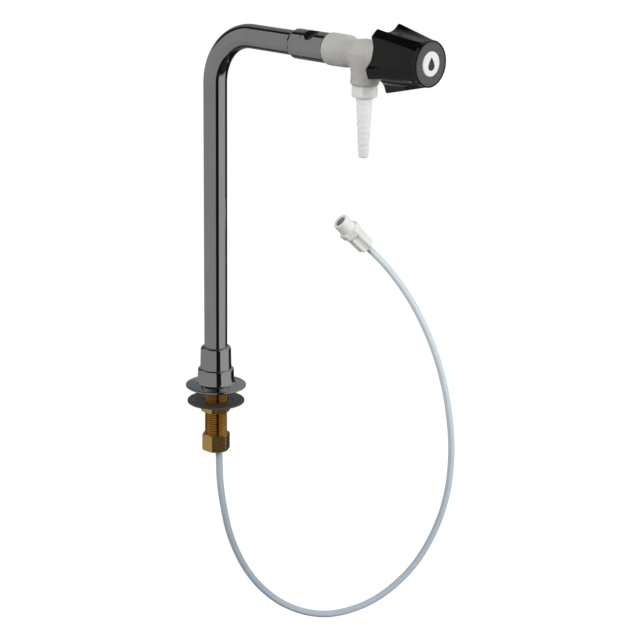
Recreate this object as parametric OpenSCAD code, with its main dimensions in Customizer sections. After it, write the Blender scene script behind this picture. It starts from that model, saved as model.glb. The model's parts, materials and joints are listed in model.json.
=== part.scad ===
// Laboratory gooseneck tap for purified water.
// Origin on the shank's axis at the underside of the deck flange, +Z up, +X along the spout arm.

/* [Gooseneck] */
// Outside diameter of the post and arm
tube_d = 21.34; // [16:0.01:26]
// Wall of the post and arm
tube_wall = 1.6; // [1.2:0.05:2.4]
// Centre-line radius of the bend
bend_r = 47; // [36:0.5:70]
// Height of the arm's axis above the deck
arm_height = 331.8; // [200:0.1:450]
// Distance from the post's axis to the outlet's axis
reach = 179; // [165:0.5:260]

/* [Turret] */
// Overhang of the deck flange beyond the turret's foot
flange_overhang = 11; // [6:0.1:20]
// Height of the flange's rim
flange_rim = 1.9; // [1.4:0.05:3]
// Bevel at the flange's lower edge
flange_bevel = 1; // [0.2:0.05:1.2]
// Height at which the flange's cone meets the turret
flange_crown = 4.7; // [3:0.1:8]
// Wall of the turret around its bearing cavity
turret_wall = 4; // [2.4:0.1:6]
// Taper of the turret's lower part, on the radius
turret_taper = 0.4; // [0:0.05:1]
// Height of the shoulder below the collar
turret_step = 18.4; // [12:0.1:22]
// Wall of the collar around the post, at its top
collar_wall = 3.4; // [2.6:0.05:5]
// Taper of the collar, on the radius
collar_taper = 0.4; // [0:0.05:0.8]
// Length of the collar above the bearing cavity
collar_len = 15.1; // [13:0.1:30]
// Radius of the collar's rounded top edge
collar_round = 2.8; // [0.5:0.1:3]
// Depth of the recess under the flange
recess_depth = 1; // [0.5:0.1:2]
// Width of the recess around the shank's head
recess_width = 2.2; // [0.5:0.1:4]

/* [Swivel] */
// Wall of the swivel bearing
bearing_wall = 2; // [1:0.1:3]
// Height of the swivel bearing
bearing_h = 12; // [6:0.1:16]
// Thickness of the lip that carries the post's end
bearing_lip = 2; // [1:0.1:4]
// Thickness of the retaining ring
ring_t = 1.2; // [0.8:0.05:1.6]
// Depth of the retaining ring's groove in the post
ring_groove = 0.7; // [0.3:0.05:0.9]
// How far the retaining ring stands out of the post
ring_proud = 1.6; // [0.8:0.05:1.8]
// Opening of the retaining ring, in degrees
ring_gap_angle = 50; // [20:5:90]
// Play above and below the retaining ring
ring_play = 0.4; // [0.2:0.05:0.8]
// Section diameter of the swivel's sealing rings
o_ring_d = 1.4; // [1:0.05:1.8]
// Distance between the sealing rings
o_ring_pitch = 4.5; // [3:0.1:6]
// Height of the first sealing ring above the cavity
o_ring_first = 4; // [2.5:0.1:6]

/* [Shank] */
// Outside diameter of the shank's thread
shank_d = 20.9; // [16:0.05:22]
// Pitch of the shank's thread
thread_pitch = 1.814; // [1:0.001:2.5]
// Depth of the shank's thread
thread_depth = 0.9; // [0.4:0.05:1.2]
// Length of the shank below the deck plane
shank_len = 54; // [45:0.5:90]
// Bore of the shank
shank_bore_d = 14; // [11:0.1:16]
// Height of the shank's head inside the turret
shank_head_h = 9; // [6:0.1:14]

/* [Deck clamp] */
// Space between flange and washer
clamp_gap = 13.3; // [10:0.1:20]
// Diameter of the deck washer
washer_d = 53.2; // [40:0.1:70]
// Thickness of the deck washer
washer_t = 1.55; // [1:0.05:3]
// Play of the washer's hole around the shank, on the radius
washer_play = 1.2; // [0.4:0.05:2.5]
// Wall of the locknut from its bore to its flats
locknut_wall = 1.9; // [1.2:0.05:6]
// Height of the locknut
locknut_h = 8.9; // [5:0.1:12]
// Wall of the coupling nut from its bore to its flats
coupling_wall = 1.1; // [1:0.05:5]
// Height of the coupling nut
coupling_h = 16.3; // [12:0.1:24]
// Length of the coupling nut below the shank's end
coupling_floor = 8.4; // [4:0.1:11]
// Hole in the coupling nut for the tube
coupling_hole_d = 13.2; // [10:0.1:15]
// Corner chamfer at the coupling nut's top
coupling_chamfer = 1.8; // [0.4:0.1:2.4]
// Corner chamfer at the outer end of the other metal hexes
nut_chamfer = 1.1; // [0.4:0.1:1.8]
// Corner chamfer at the seated end of the hexes
seat_chamfer = 0.4; // [0.2:0.1:0.8]

/* [Spout adapter] */
// Length of the adapter between arm and valve
adapter_len = 41; // [30:0.1:60]
// Wall of the adapter around the arm
adapter_wall = 2.16; // [2:0.02:4]
// Depth of the socket that takes the arm's end
adapter_socket = 13.5; // [8:0.1:20]
// Depth of the wrench flats
flat_depth = 2.4; // [0.6:0.1:3]
// Distance from the socket's floor to the wrench flats
flat_gap = 5.1; // [0:0.1:8]
// Length of the wrench flats
flat_len = 10.2; // [6:0.1:14]
// Turn of the wrench flats about the arm
flat_turn = 24; // [0:1:60]
// Depth of the adapter's rear taper, on the radius
adapter_chamfer = 1.7; // [0.2:0.1:1.8]
// Length of the adapter's rear taper
adapter_taper = 3.5; // [0.5:0.1:6]
// Diameter of the adapter's threaded spigot
spigot_d = 19; // [16:0.1:22]
// Length of the adapter's threaded spigot
spigot_len = 12; // [8:0.1:14]

/* [Valve body] */
// Length from the inlet's mouth to the outlet's axis
inlet_len = 39.2; // [37:0.1:60]
// Wall of the inlet socket at its mouth
inlet_wall = 4.4; // [3:0.1:8]
// Taper of the inlet socket, on the radius
inlet_taper = 0.3; // [0:0.05:1]
// Length of the inlet socket
inlet_socket = 20.7; // [16:0.1:24]
// Length of the slope from socket to neck
inlet_slope = 5.8; // [3:0.1:8]
// Rounding of the inlet's mouth
inlet_round = 2.5; // [0.5:0.1:3.5]
// Wall of the neck around the bonnet
neck_wall = 2; // [1.4:0.1:4]
// Length of the neck beyond the outlet's axis
neck_len = 23; // [18:0.1:34]
// Diameter of the outlet boss
boss_d = 23.8; // [20:0.1:30]
// How far the rim of the outlet boss stands out
boss_rim = 0.3; // [0:0.05:1]
// Height of the rim of the outlet boss
boss_rim_h = 4; // [2:0.1:8]
// Chamfer under the rim of the outlet boss
boss_chamfer = 1.3; // [0.3:0.1:2]
// Depth of the outlet boss below the arm's axis
boss_drop = 25.6; // [22:0.1:40]
// Diameter of the dome over the outlet
dome_d = 24.6; // [22.6:0.1:27]
// Diameter of the valve's chamber
chamber_d = 16.4; // [13:0.1:18]
// Distance from the outlet's axis back to the seat
seat_back = 7; // [4:0.1:9]
// Height of the seat's ring
seat_h = 3; // [1.5:0.1:5]
// Outside diameter of the seat's ring
seat_d = 8.4; // [6.5:0.1:10]
// Diameter of the water passages
passage_d = 4.8; // [3:0.1:5.4]
// Diameter of the hole from the chamber to the outlet
outlet_d = 6.4; // [3:0.1:8]

/* [Liner] */
// Outside diameter of the plastic tube
liner_d = 6.35; // [4:0.05:8]
// Wall of the plastic tube
liner_wall = 1; // [0.6:0.05:1.4]
// Length of the liner's end in the valve body
liner_seat = 5; // [2:0.1:8]
// Play of the liner in the adapter, on the radius
liner_play = 1; // [0.4:0.1:2]
// Length of the ferrule on the liner
ferrule_len = 4.3; // [2:0.1:6]
// Wall of the ferrule on the liner
ferrule_wall = 2.2; // [1:0.1:3]

/* [Valve works] */
// Lead of the stem's thread
stem_lead = 2; // [1:0.1:3]
// Turns from closed to open
stem_turns = 2; // [1:0.25:2.5]
// Diameter of the stem
stem_d = 8; // [7:0.1:9]
// Depth of the stem's thread
stem_thread_depth = 0.5; // [0.2:0.05:0.8]
// Diameter of the bonnet's thread
bonnet_d = 18.4; // [17:0.1:22]
// Length of the bonnet's thread
bonnet_thread = 15; // [12:0.1:17]
// Width across the flats of the bonnet's hex
bonnet_af = 20; // [18:0.1:26]
// Height of the bonnet's hex
bonnet_hex_h = 6; // [3:0.1:10]
// Diameter of the bonnet's nose
bonnet_nose_d = 14; // [12:0.1:18]
// Length of the bonnet's nose
bonnet_nose = 13.5; // [12:0.1:16]
// Thickness of the bonnet's gasket
bonnet_gasket_t = 1; // [0.5:0.1:2]
// Depth of the jumper's guide in the bonnet
guide_len = 9; // [7:0.1:11]
// Diameter of the jumper
jumper_d = 12.1; // [10:0.1:13.5]
// Length of the jumper
jumper_len = 16; // [14.5:0.1:17]
// Thickness of the seat washer
seat_washer_t = 2; // [1:0.1:3]
// Diameter of the seat washer
seat_washer_d = 10.4; // [9:0.1:12]
// Diameter of the stem's nose in the jumper
nose_d = 6; // [4:0.1:6.6]
// Length of the stem's nose in the jumper
nose_len = 7.8; // [4:0.1:10]
// Section diameter of the stem's packing rings
packing_d = 1.2; // [0.8:0.05:1.6]
// Distance between the stem's packing rings
packing_pitch = 3; // [2:0.1:4]

/* [Knob] */
// Depth of the knob
knob_depth = 46.1; // [40:0.1:60]
// Radius over the lobes at the rear
knob_rear_r = 29.6; // [25:0.1:36]
// Radius of the front rim
knob_front_r = 19.2; // [16:0.1:24]
// How far the lobes stand out behind the front rim
lobe_front = 0.2; // [0.1:0.1:1.5]
// Height of the front rim
knob_rim = 4; // [2:0.1:6]
// Rounding of the front rim's edge
knob_round = 1.0; // [0.3:0.1:2]
// Number of lobes
knob_lobes = 5; // [4:1:7]
// Turn of the first lobe from the top
knob_turn = 32; // [0:1:71]
// Radius of the hollows' floor at the rear
hollow_r = 21.3; // [20:0.1:24]
// Radius of the hollows' floor at the front
hollow_front_r = 18.5; // [16:0.1:19]
// Radius of the hollows' sides
hollow_side_r = 15.6; // [8:0.1:20]
// Half width of the hollows' flat floor
hollow_half = 1.6; // [1:0.1:7]
// Radius of the cavity behind the knob
knob_cavity_r = 17; // [13.5:0.1:18]
// Depth of the cavity behind the knob
knob_cavity = 20; // [18:0.1:24]
// Gap from the valve body's end to the knob's rear
knob_gap = 2; // [1:0.1:6]
// Thickness of the knob's web on the stem
knob_web = 15; // [10:0.1:18]
// Width of the stem's square
square_w = 5.6; // [4.8:0.1:5.8]
// Radius of the index ring
index_r = 18.1; // [14:0.1:18.4]
// Radius of the index button
button_r = 10.2; // [7:0.1:13]
// Thickness of the index ring
index_t = 1.6; // [1:0.1:2.5]
// Crown of the index button above the ring
button_crown = 0.3; // [0.1:0.05:0.8]
// Diameter of the handle screw
screw_d = 4; // [3:0.1:4.4]
// Length of the handle screw below its head
screw_len = 12; // [6:0.1:13]
// Diameter of the handle screw's head
screw_head_d = 8.6; // [8:0.1:9.6]
// Height of the handle screw's head
screw_head_h = 2.6; // [1.5:0.1:3]
// Width of the slot in the screw's head
slot_w = 1.2; // [0.8:0.1:1.6]
// Diameter of the well around the screw's head
well_d = 10.4; // [10:0.1:13]

/* [Hose nozzle] */
// Thickness of the nozzle's gasket
nozzle_gasket_t = 0.8; // [0.4:0.05:1.6]
// Width of the nozzle's gasket
nozzle_gasket_w = 1.5; // [0.8:0.1:2]
// Width across the flats of the nozzle's collar
nozzle_af = 20; // [19:0.05:24]
// Corner chamfer under the nozzle's collar
nozzle_chamfer = 1.5; // [0.4:0.1:2.2]
// Height of the nozzle's collar
nozzle_hex_h = 9.2; // [5:0.1:14]
// Diameter of the nozzle's thread in the boss
nozzle_thread_d = 15.2; // [12:0.1:16]
// Length of the nozzle's thread in the boss
nozzle_thread = 11; // [6:0.1:11.5]
// Bore of the nozzle
nozzle_bore_d = 4.4; // [3:0.1:6]
// Radius of the nozzle below its collar
nozzle_root_r = 7.4; // [6:0.1:9]
// Length of the plain stretch below the collar
nozzle_root = 1.4; // [0.5:0.1:4]
// Number of barbs on the nozzle
barb_count = 9; // [4:1:12]
// Distance between the barbs
barb_pitch = 5; // [3:0.1:7]
// Radius of the top barb's edge
barb_top_r = 7.2; // [6:0.1:9]
// Radius of the last barb's edge
barb_end_r = 5; // [4.2:0.1:6]
// Share of a barb's length that its upper face takes
barb_ramp = 0.2; // [0.1:0.05:0.4]
// Depth of a barb's notch
barb_notch = 0.8; // [0.3:0.05:1]
// Length of the nozzle's tip below the barbs
tip_len = 5.2; // [3:0.1:10]
// Radius of the nozzle's tip
tip_r = 4.3; // [3.8:0.1:5]

/* [Connector] */
// Turn of the tube's loop about the post's axis
loop_turn = 68; // [0:1:90]
// Lean of the connector from upright
connector_lean = 46; // [30:1:60]
// Turn of the connector's hexes about its axis
conn_hex_turn = 41; // [0:1:60]
// Length of the compression nut
conn_nut_len = 20.6; // [14:0.1:26]
// Width across the flats of the compression nut
conn_nut_af = 15.4; // [15:0.1:19]
// Corner chamfer at the compression nut's tube end
conn_nut_chamfer = 0.8; // [0.4:0.1:1.4]
// Radius of the channels in the compression nut
channel_r = 7; // [4:0.1:10]
// Depth of the channels in the compression nut
channel_depth = 0.9; // [0.3:0.1:1]
// Thickness of the compression nut's end wall
conn_nut_wall = 3; // [2:0.1:4]
// Gap between the compression nut and the hex flange
conn_gap = 0.4; // [0.2:0.05:1]
// Thickness of the hex flange
conn_hex_t = 6; // [4:0.1:9]
// Corner chamfer of the hex flange
conn_hex_chamfer = 0.6; // [0.3:0.1:1.2]
// Width across the flats of the hex flange
conn_hex_af = 19.05; // [17:0.05:24]
// Length of the male end
male_len = 12.3; // [8:0.1:20]
// Radius of the male end at the flange
male_root_r = 8.2; // [7:0.05:9]
// Radius of the male end at its tip
male_tip_r = 8; // [6.8:0.05:9]
// Bore of the male end
male_bore_d = 9.8; // [6:0.1:11]
// Chamfer at the male end's tip
male_chamfer = 0.9; // [0.3:0.1:1.2]
// Radius of the connector's thread inside the nut
conn_thread_r = 5.8; // [5.2:0.05:6.4]
// Length of the tube inside the connector
tube_insert = 17; // [8:0.1:18]

/* [Fits] */
// Radial clearance where a piece turns or slides
run_clear = 0.06; // [0.02:0.01:0.1]
// Radial clearance where a piece is seated or screwed
seat_clear = 0.04; // [0.02:0.01:0.1]
// Gap between flat faces that move on each other
face_clear = 0.05; // [0.02:0.01:0.1]

/* [Hidden] */
$fn = 96;

// Overlap of cuts beyond the face they open
cut = 1;
// Steps of a quarter-round edge
round_steps = 6;
// Overlap of a chamfer's cone beyond the corners
over = 0.01;
// Height of a hex's chamfer for each unit of its depth
chamfer_rise = 0.6;
// Share of the pitch that a thread's crest takes
crest = 0.2;
// Width of a sealing ring's groove, in ring diameters
groove_ratio = 1.25;
chrome_color = [0.62, 0.63, 0.64];
brass_color = [0.76, 0.56, 0.28];
steel_color = [0.36, 0.36, 0.35];
white_color = [0.90, 0.90, 0.87];
black_color = [0.05, 0.05, 0.05];
rubber_color = [0.12, 0.12, 0.12];
grey_color = [0.45, 0.46, 0.46];
milky_color = [0.80, 0.85, 0.90];

// Post and swivel, heights above the deck
tube_r = tube_d / 2;
shank_r = shank_d / 2;
bearing_r = tube_r + run_clear + bearing_wall;
cavity_r = bearing_r + seat_clear;
head_top = recess_depth + shank_head_h;
bearing_top = head_top + bearing_h;
post_bottom = head_top + bearing_lip + face_clear;
ring_bottom = bearing_top + ring_play;
cavity_top = ring_bottom + ring_t + ring_play;
turret_h = cavity_top + collar_len;
post_bore_r = tube_r + run_clear;
o_ring_groove_r = post_bore_r + o_ring_d;
o_ring_groove_h = groove_ratio * o_ring_d;
o_ring_heights = [for (i = [0:1]) cavity_top + o_ring_first + i * o_ring_pitch];

// Turret's outline
waist_r = cavity_r + turret_wall;
foot_r = waist_r + turret_taper;
flange_r = foot_r + flange_overhang;
collar_top_r = post_bore_r + collar_wall;
collar_foot_r = collar_top_r + collar_taper;
recess_r = cavity_r + recess_width;

// Deck clamp, heights below the deck
washer_z = -clamp_gap - washer_t;
locknut_top = washer_z - face_clear;
locknut_af = 2 * (shank_r + run_clear + locknut_wall);
coupling_af = 2 * (shank_r + seat_clear + coupling_wall);
coupling_bottom = -shank_len - coupling_floor;
coupling_top = coupling_bottom + coupling_h;

// Places along the arm
inlet_x = reach - inlet_len;
adapter_x = inlet_x - adapter_len;
adapter_r = tube_r + seat_clear + adapter_wall;
arm_end = adapter_x + adapter_socket - face_clear;
spigot_r = spigot_d / 2;
spigot_end = inlet_x + spigot_len;
ferrule_x = spigot_end + face_clear;
ferrule_end = ferrule_x + ferrule_len;
ferrule_r = liner_d / 2 + seat_clear + ferrule_wall;
liner_end = ferrule_end + liner_seat;
inlet_r = spigot_r + seat_clear + inlet_wall;
neck_r = bonnet_d / 2 + seat_clear + neck_wall;
neck_end = reach + neck_len;

// Valve works along the arm
seat_x = reach - seat_back;
jumper_x = seat_x + face_clear + seat_washer_t;
jumper_end = jumper_x + jumper_len;
lift = stem_lead * stem_turns;
bonnet_x = neck_end + bonnet_gasket_t;
bonnet_tip = neck_end - bonnet_thread;
bonnet_end = bonnet_x + bonnet_hex_h + bonnet_nose;
stem_r = stem_d / 2;
stem_bore_r = stem_r + run_clear;
stem_shoulder = jumper_end + face_clear;
knob_x = neck_end + knob_gap;
web_x = knob_x + knob_cavity;
well_x = web_x + knob_web;
face_x = knob_x + knob_depth;
index_x = face_x - index_t;
stem_end = well_x - face_clear;
// Heights of the packing rings, clear of the bonnet's mouth when the valve is open
packing_x = [for (i = [0:1]) bonnet_end - lift - packing_d - i * packing_pitch];

// Outlet, heights below the arm
boss_bottom = arm_height - boss_drop;
nozzle_top = boss_bottom - nozzle_gasket_t;
nozzle_socket_top = boss_bottom + nozzle_thread + cut;
nozzle_root_z = nozzle_top - nozzle_hex_h;
barb_z = nozzle_root_z - nozzle_root;
tip_z = barb_z - barb_count * barb_pitch;
nozzle_bottom = tip_z - tip_len;

// Route of the free tube in the loop's upright plane: distance from the post's axis, and height
tube_route = [
    [0, -42], [1.5, -56], [3, -70], [4, -96], [7.5, -122], [13, -148], [22, -173], [34.5, -196.5],
    [51, -217.5], [71, -235], [94.5, -248], [120, -255], [146.5, -254.5], [172, -248], [195.5, -235],
    [215.5, -217.5], [231, -196], [242.5, -172], [250, -146], [253, -120], [253, -93.5], [250, -67],
    [245, -40.5], [238, -15], [229, 10], [218, 34], [205, 57.5], [190, 79.5], [173, 100.5], [154, 119.5]
];
tube_sides = 12;
tube_steps = 2;
connector_dir = [-sin(connector_lean), cos(connector_lean)];
connector_at = tube_route[len(tube_route) - 1];
tube_r_free = liner_d / 2;
conn_hex_z = conn_nut_len + conn_gap;
male_z = conn_hex_z + conn_hex_t;
conn_tip_z = male_z + male_len;
conn_ferrule_end = conn_nut_wall + ferrule_len;
conn_body_z = conn_ferrule_end + face_clear;

// Points on a round edge about c, from angle a0 to a1
function arc(c, r, a0, a1) =
    [for (i = [0:round_steps]) let (a = a0 + (a1 - a0) * i / round_steps) c + r * [cos(a), sin(a)]];

// Teeth of an outside thread, as rings from z0 downwards
function teeth(r, depth, pitch, z0, n) =
    [for (i = [0:n - 1])
        let (middle = z0 - (i + 0.5) * pitch, half = crest * pitch / 2)
        each [[r - depth, z0 - i * pitch], [r, middle + half], [r, middle - half]]];

// Point on the smooth curve through b and c
function curve(a, b, c, d, t) =
    0.5 * (2 * b + (c - a) * t + (2 * a - 5 * b + 4 * c - d) * t * t + (3 * b - a - 3 * c + d) * t * t * t);

// Places a shape drawn about the Z axis on the arm's axis, with its base at x
module on_arm(x) {
    translate([x, 0, arm_height])
        rotate([0, 90, 0])
            children();
}

// Places a shape drawn about the Z axis on the connector's axis, from the tube's entry
module on_connector() {
    rotate([0, 0, loop_turn])
        translate([connector_at[0], 0, connector_at[1]])
            rotate([0, -connector_lean, 0])
                rotate([0, 0, conn_hex_turn])
                    children();
}

// Hex prism of width af from z0 to z1, with its corners turned down at the ends that have a chamfer
module hex_prism(af, z0, z1, low_chamfer, high_chamfer) {
    corner_r = af / 2 / cos(30);
    low_z = z0 + low_chamfer * chamfer_rise;
    high_z = z1 - high_chamfer * chamfer_rise;
    intersection() {
        translate([0, 0, z0])
            cylinder(r = corner_r, h = z1 - z0, $fn = 6);
        rotate_extrude()
            polygon([
                [0, z0], [corner_r - low_chamfer, z0], [corner_r + over, low_z],
                [corner_r + over, high_z], [corner_r - high_chamfer, z1], [0, z1]
            ]);
    }
}

// Ring or tube about the Z axis from z0 to z1
module tube_ring(r_in, r_out, z0, z1) {
    rotate_extrude()
        polygon([[r_in, z0], [r_out, z0], [r_out, z1], [r_in, z1]]);
}

// Round ring of radius ring_r at its section's centre
module o_ring(ring_r, section_d) {
    rotate_extrude()
        translate([ring_r, 0])
            circle(d = section_d, $fn = 32);
}

// Tube that rises from foot, bends over and runs along the arm to tip
module bent_tube(outer_r, wall, foot, tip) {
    bore_r = outer_r - wall;
    bend_z = arm_height - bend_r;
    union() {
        tube_ring(bore_r, outer_r, foot, bend_z);
        translate([bend_r, 0, bend_z])
            rotate([90, 0, 0])
                rotate_extrude(angle = 90, start = 90)
                    translate([bend_r, 0])
                        difference() {
                            circle(r = outer_r);
                            circle(r = bore_r);
                        }
        on_arm(bend_r)
            tube_ring(bore_r, outer_r, 0, tip - bend_r);
        bend_tie(bore_r, wall, bend_z);
        on_arm(0)
            bend_tie(bore_r, wall, bend_r);
    }
}

// Ring within the tube's wall, across the joint of a straight length and the bend at z
module bend_tie(bore_r, wall, z) {
    tube_ring(bore_r + wall / 4, bore_r + wall * 3 / 4, z - wall / 2, z + wall / 2);
}

// Chrome deck flange and stepped collar, bored for the swivel
module turret() {
    step_round = waist_r - collar_foot_r;
    groove = o_ring_groove_h / 2;
    color(chrome_color)
        rotate_extrude()
            polygon(concat(
                [[recess_r, 0], [flange_r - flange_bevel, 0], [flange_r, flange_bevel]],
                [[flange_r, flange_rim - flange_bevel / 4], [flange_r - flange_bevel / 2, flange_rim]],
                [[foot_r, flange_crown]],
                arc([waist_r - step_round, turret_step - step_round], step_round, 0, 90),
                arc([collar_top_r - collar_round, turret_h - collar_round], collar_round, 0, 90),
                [[post_bore_r, turret_h]],
                [for (i = [1:-1:0]) each [
                    [post_bore_r, o_ring_heights[i] + groove], [o_ring_groove_r, o_ring_heights[i] + groove],
                    [o_ring_groove_r, o_ring_heights[i] - groove], [post_bore_r, o_ring_heights[i] - groove]
                ]],
                [[post_bore_r, cavity_top], [cavity_r, cavity_top]],
                [[cavity_r, recess_depth], [recess_r, recess_depth]]
            ));
}

// Brass threaded tube, screwed into the turret by its head
module shank() {
    teeth_count = floor((shank_len - thread_pitch) / thread_pitch);
    root_r = shank_r - thread_depth;
    color(brass_color)
        rotate_extrude()
            polygon(concat(
                [[shank_bore_d / 2, head_top], [bearing_r, head_top], [bearing_r, recess_depth]],
                [[root_r, recess_depth]],
                teeth(shank_r, thread_depth, thread_pitch, 0, teeth_count),
                [[root_r, -teeth_count * thread_pitch], [root_r, -shank_len], [shank_bore_d / 2, -shank_len]]
            ));
}

// Brass hex nut on the shank's lower end
module coupling_nut() {
    color(brass_color)
        difference() {
            hex_prism(coupling_af, coupling_bottom, coupling_top, nut_chamfer, coupling_chamfer);
            translate([0, 0, -shank_len - face_clear])
                cylinder(r = shank_r + seat_clear, h = coupling_h + cut);
            translate([0, 0, coupling_bottom - cut])
                cylinder(d = coupling_hole_d, h = coupling_h);
        }
}

// Flanged plastic bush that carries the post's end
module swivel_bearing() {
    lip_r = tube_r - tube_wall - bearing_lip / 2;
    lip_top = head_top + bearing_lip;
    color(white_color)
        rotate_extrude()
            polygon([
                [lip_r, head_top], [bearing_r, head_top], [bearing_r, bearing_top],
                [post_bore_r, bearing_top], [post_bore_r, lip_top], [lip_r, lip_top]
            ]);
}

// Two sealing rings in the turret's grooves
module swivel_o_rings() {
    color(rubber_color)
        for (z = o_ring_heights)
            translate([0, 0, z])
                o_ring(post_bore_r + o_ring_d / 2 - run_clear / 2, o_ring_d);
}

// Chrome post, bend and arm
module gooseneck_tube() {
    color(chrome_color)
        difference() {
            bent_tube(tube_r, tube_wall, post_bottom, arm_end);
            translate([0, 0, ring_bottom - face_clear])
                tube_ring(tube_r - ring_groove, tube_r + cut, 0, ring_t + 2 * face_clear);
        }
}

// Split ring in the post's groove
module retaining_ring() {
    gap_reach = 2 * cavity_r;
    color(steel_color)
        difference() {
            translate([0, 0, ring_bottom])
                tube_ring(tube_r - ring_groove + seat_clear, tube_r + ring_proud, 0, ring_t);
            translate([0, 0, ring_bottom - cut])
                linear_extrude(ring_t + 2 * cut)
                    polygon([
                        [0, 0],
                        gap_reach * [cos(ring_gap_angle / 2), sin(ring_gap_angle / 2)],
                        gap_reach * [cos(ring_gap_angle / 2), -sin(ring_gap_angle / 2)]
                    ]);
        }
}

// Chrome end fitting, soldered on the arm and screwed into the valve
module spout_adapter() {
    liner_hole_r = liner_d / 2 + liner_play;
    socket_r = tube_r + seat_clear;
    spigot_z = adapter_len + spigot_len;
    color(chrome_color)
        difference() {
            on_arm(adapter_x)
                rotate_extrude()
                    polygon([
                        [socket_r, 0], [adapter_r - adapter_chamfer, 0], [adapter_r, adapter_taper],
                        [adapter_r, adapter_len], [spigot_r, adapter_len], [spigot_r, spigot_z],
                        [liner_hole_r, spigot_z], [liner_hole_r, adapter_socket], [socket_r, adapter_socket]
                    ]);
            for (side = [0, 180])
                on_arm(adapter_x)
                    rotate([0, 0, 180 + flat_turn + side])
                        translate([adapter_r - flat_depth, -adapter_r, adapter_socket + flat_gap])
                            cube([adapter_r, 2 * adapter_r, flat_len]);
        }
}

// Stretch of the plastic tube that the metal shell holds
module liner_tube() {
    color(milky_color)
        bent_tube(liner_d / 2, liner_wall, tube_route[0][1], liner_end - face_clear);
}

// Sleeve that grips the liner between adapter and valve body
module liner_ferrule() {
    color(white_color)
        on_arm(ferrule_x)
            rotate_extrude()
                polygon([
                    [liner_d / 2 + seat_clear, 0], [ferrule_r, 0], [ferrule_r, ferrule_len / 2],
                    [ferrule_r - ferrule_wall / 2, ferrule_len], [liner_d / 2 + seat_clear, ferrule_len]
                ]);
}

// White T-shaped body, with socket, seat, chamber and outlet boss
module valve_body() {
    passage_r = passage_d / 2;
    chamber_r = chamber_d / 2;
    socket_r = spigot_r + seat_clear;
    bonnet_r = bonnet_d / 2 + seat_clear;
    boss_r = boss_d / 2;
    rim_r = boss_r + boss_rim;
    chamber_x = seat_x - seat_h;
    color(white_color)
        difference() {
            union() {
                on_arm(inlet_x)
                    rotate_extrude()
                        polygon(concat(
                            [[0, 0]],
                            arc([inlet_r - inlet_round, inlet_round], inlet_round, -90, 0),
                            [[inlet_r - inlet_taper, inlet_socket], [neck_r, inlet_socket + inlet_slope]],
                            [[neck_r, inlet_len + neck_len], [0, inlet_len + neck_len]]
                        ));
                translate([reach, 0, arm_height])
                    sphere(d = dome_d);
                translate([reach, 0, boss_bottom])
                    rotate_extrude()
                        polygon([
                            [0, 0], [rim_r - boss_chamfer, 0], [rim_r, boss_chamfer], [rim_r, boss_rim_h],
                            [boss_r, boss_rim_h + boss_rim], [boss_r, boss_drop], [0, boss_drop]
                        ]);
            }
            on_arm(inlet_x - cut)
                cylinder(r = socket_r, h = spigot_len + 2 * face_clear + cut);
            on_arm(inlet_x)
                cylinder(r = ferrule_r + seat_clear, h = ferrule_end + face_clear - inlet_x);
            on_arm(inlet_x)
                cylinder(r = liner_d / 2 + seat_clear, h = liner_end - inlet_x);
            on_arm(inlet_x)
                cylinder(r = passage_r, h = inlet_len);
            on_arm(chamber_x)
                difference() {
                    cylinder(r = chamber_r, h = neck_end - chamber_x);
                    translate([0, 0, -cut])
                        cylinder(d = seat_d, h = seat_h + cut);
                }
            on_arm(bonnet_tip - cut)
                cylinder(r = bonnet_r, h = bonnet_thread + 2 * cut);
            translate([reach, 0, nozzle_socket_top - cut])
                cylinder(d = outlet_d, h = arm_height - nozzle_socket_top);
            translate([reach, 0, boss_bottom - cut])
                cylinder(r = nozzle_thread_d / 2 + seat_clear, h = nozzle_thread + 2 * cut);
        }
}

// White serrated nozzle with hex collar, screwed into the outlet boss
module hose_nozzle() {
    barb_step = (barb_top_r - barb_end_r) / (barb_count - 1);
    ramp = barb_pitch * barb_ramp;
    tip_round = (tip_r - nozzle_bore_d / 2) / 2;
    color(white_color)
        translate([reach, 0, 0])
            difference() {
                union() {
                    hex_prism(nozzle_af, nozzle_root_z, nozzle_top, nozzle_chamfer, seat_chamfer);
                    translate([0, 0, nozzle_top - cut])
                        cylinder(d = nozzle_thread_d, h = nozzle_thread + nozzle_gasket_t + cut);
                    rotate_extrude()
                        polygon(concat(
                            [[0, nozzle_root_z + cut], [nozzle_root_r, nozzle_root_z + cut]],
                            [[nozzle_root_r, barb_z]],
                            [for (i = [0:barb_count - 1])
                                let (edge_r = barb_top_r - i * barb_step, z = barb_z - i * barb_pitch)
                                each [
                                    [edge_r - barb_notch, z], [edge_r, z - ramp],
                                    [edge_r - barb_notch / 2, z - barb_pitch + ramp / 4]
                                ]],
                            [[tip_r, tip_z]],
                            arc([tip_r - tip_round, nozzle_bottom + tip_round], tip_round, 0, -90),
                            [[0, nozzle_bottom]]
                        ));
                }
                translate([0, 0, nozzle_bottom - cut])
                    cylinder(d = nozzle_bore_d, h = arm_height - nozzle_bottom);
            }
}

// Flat seal between nozzle and outlet boss
module nozzle_gasket() {
    inner_r = nozzle_thread_d / 2 + seat_clear;
    color(rubber_color)
        translate([reach, 0, nozzle_top])
            tube_ring(inner_r, inner_r + nozzle_gasket_w, 0, nozzle_gasket_t);
}

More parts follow.
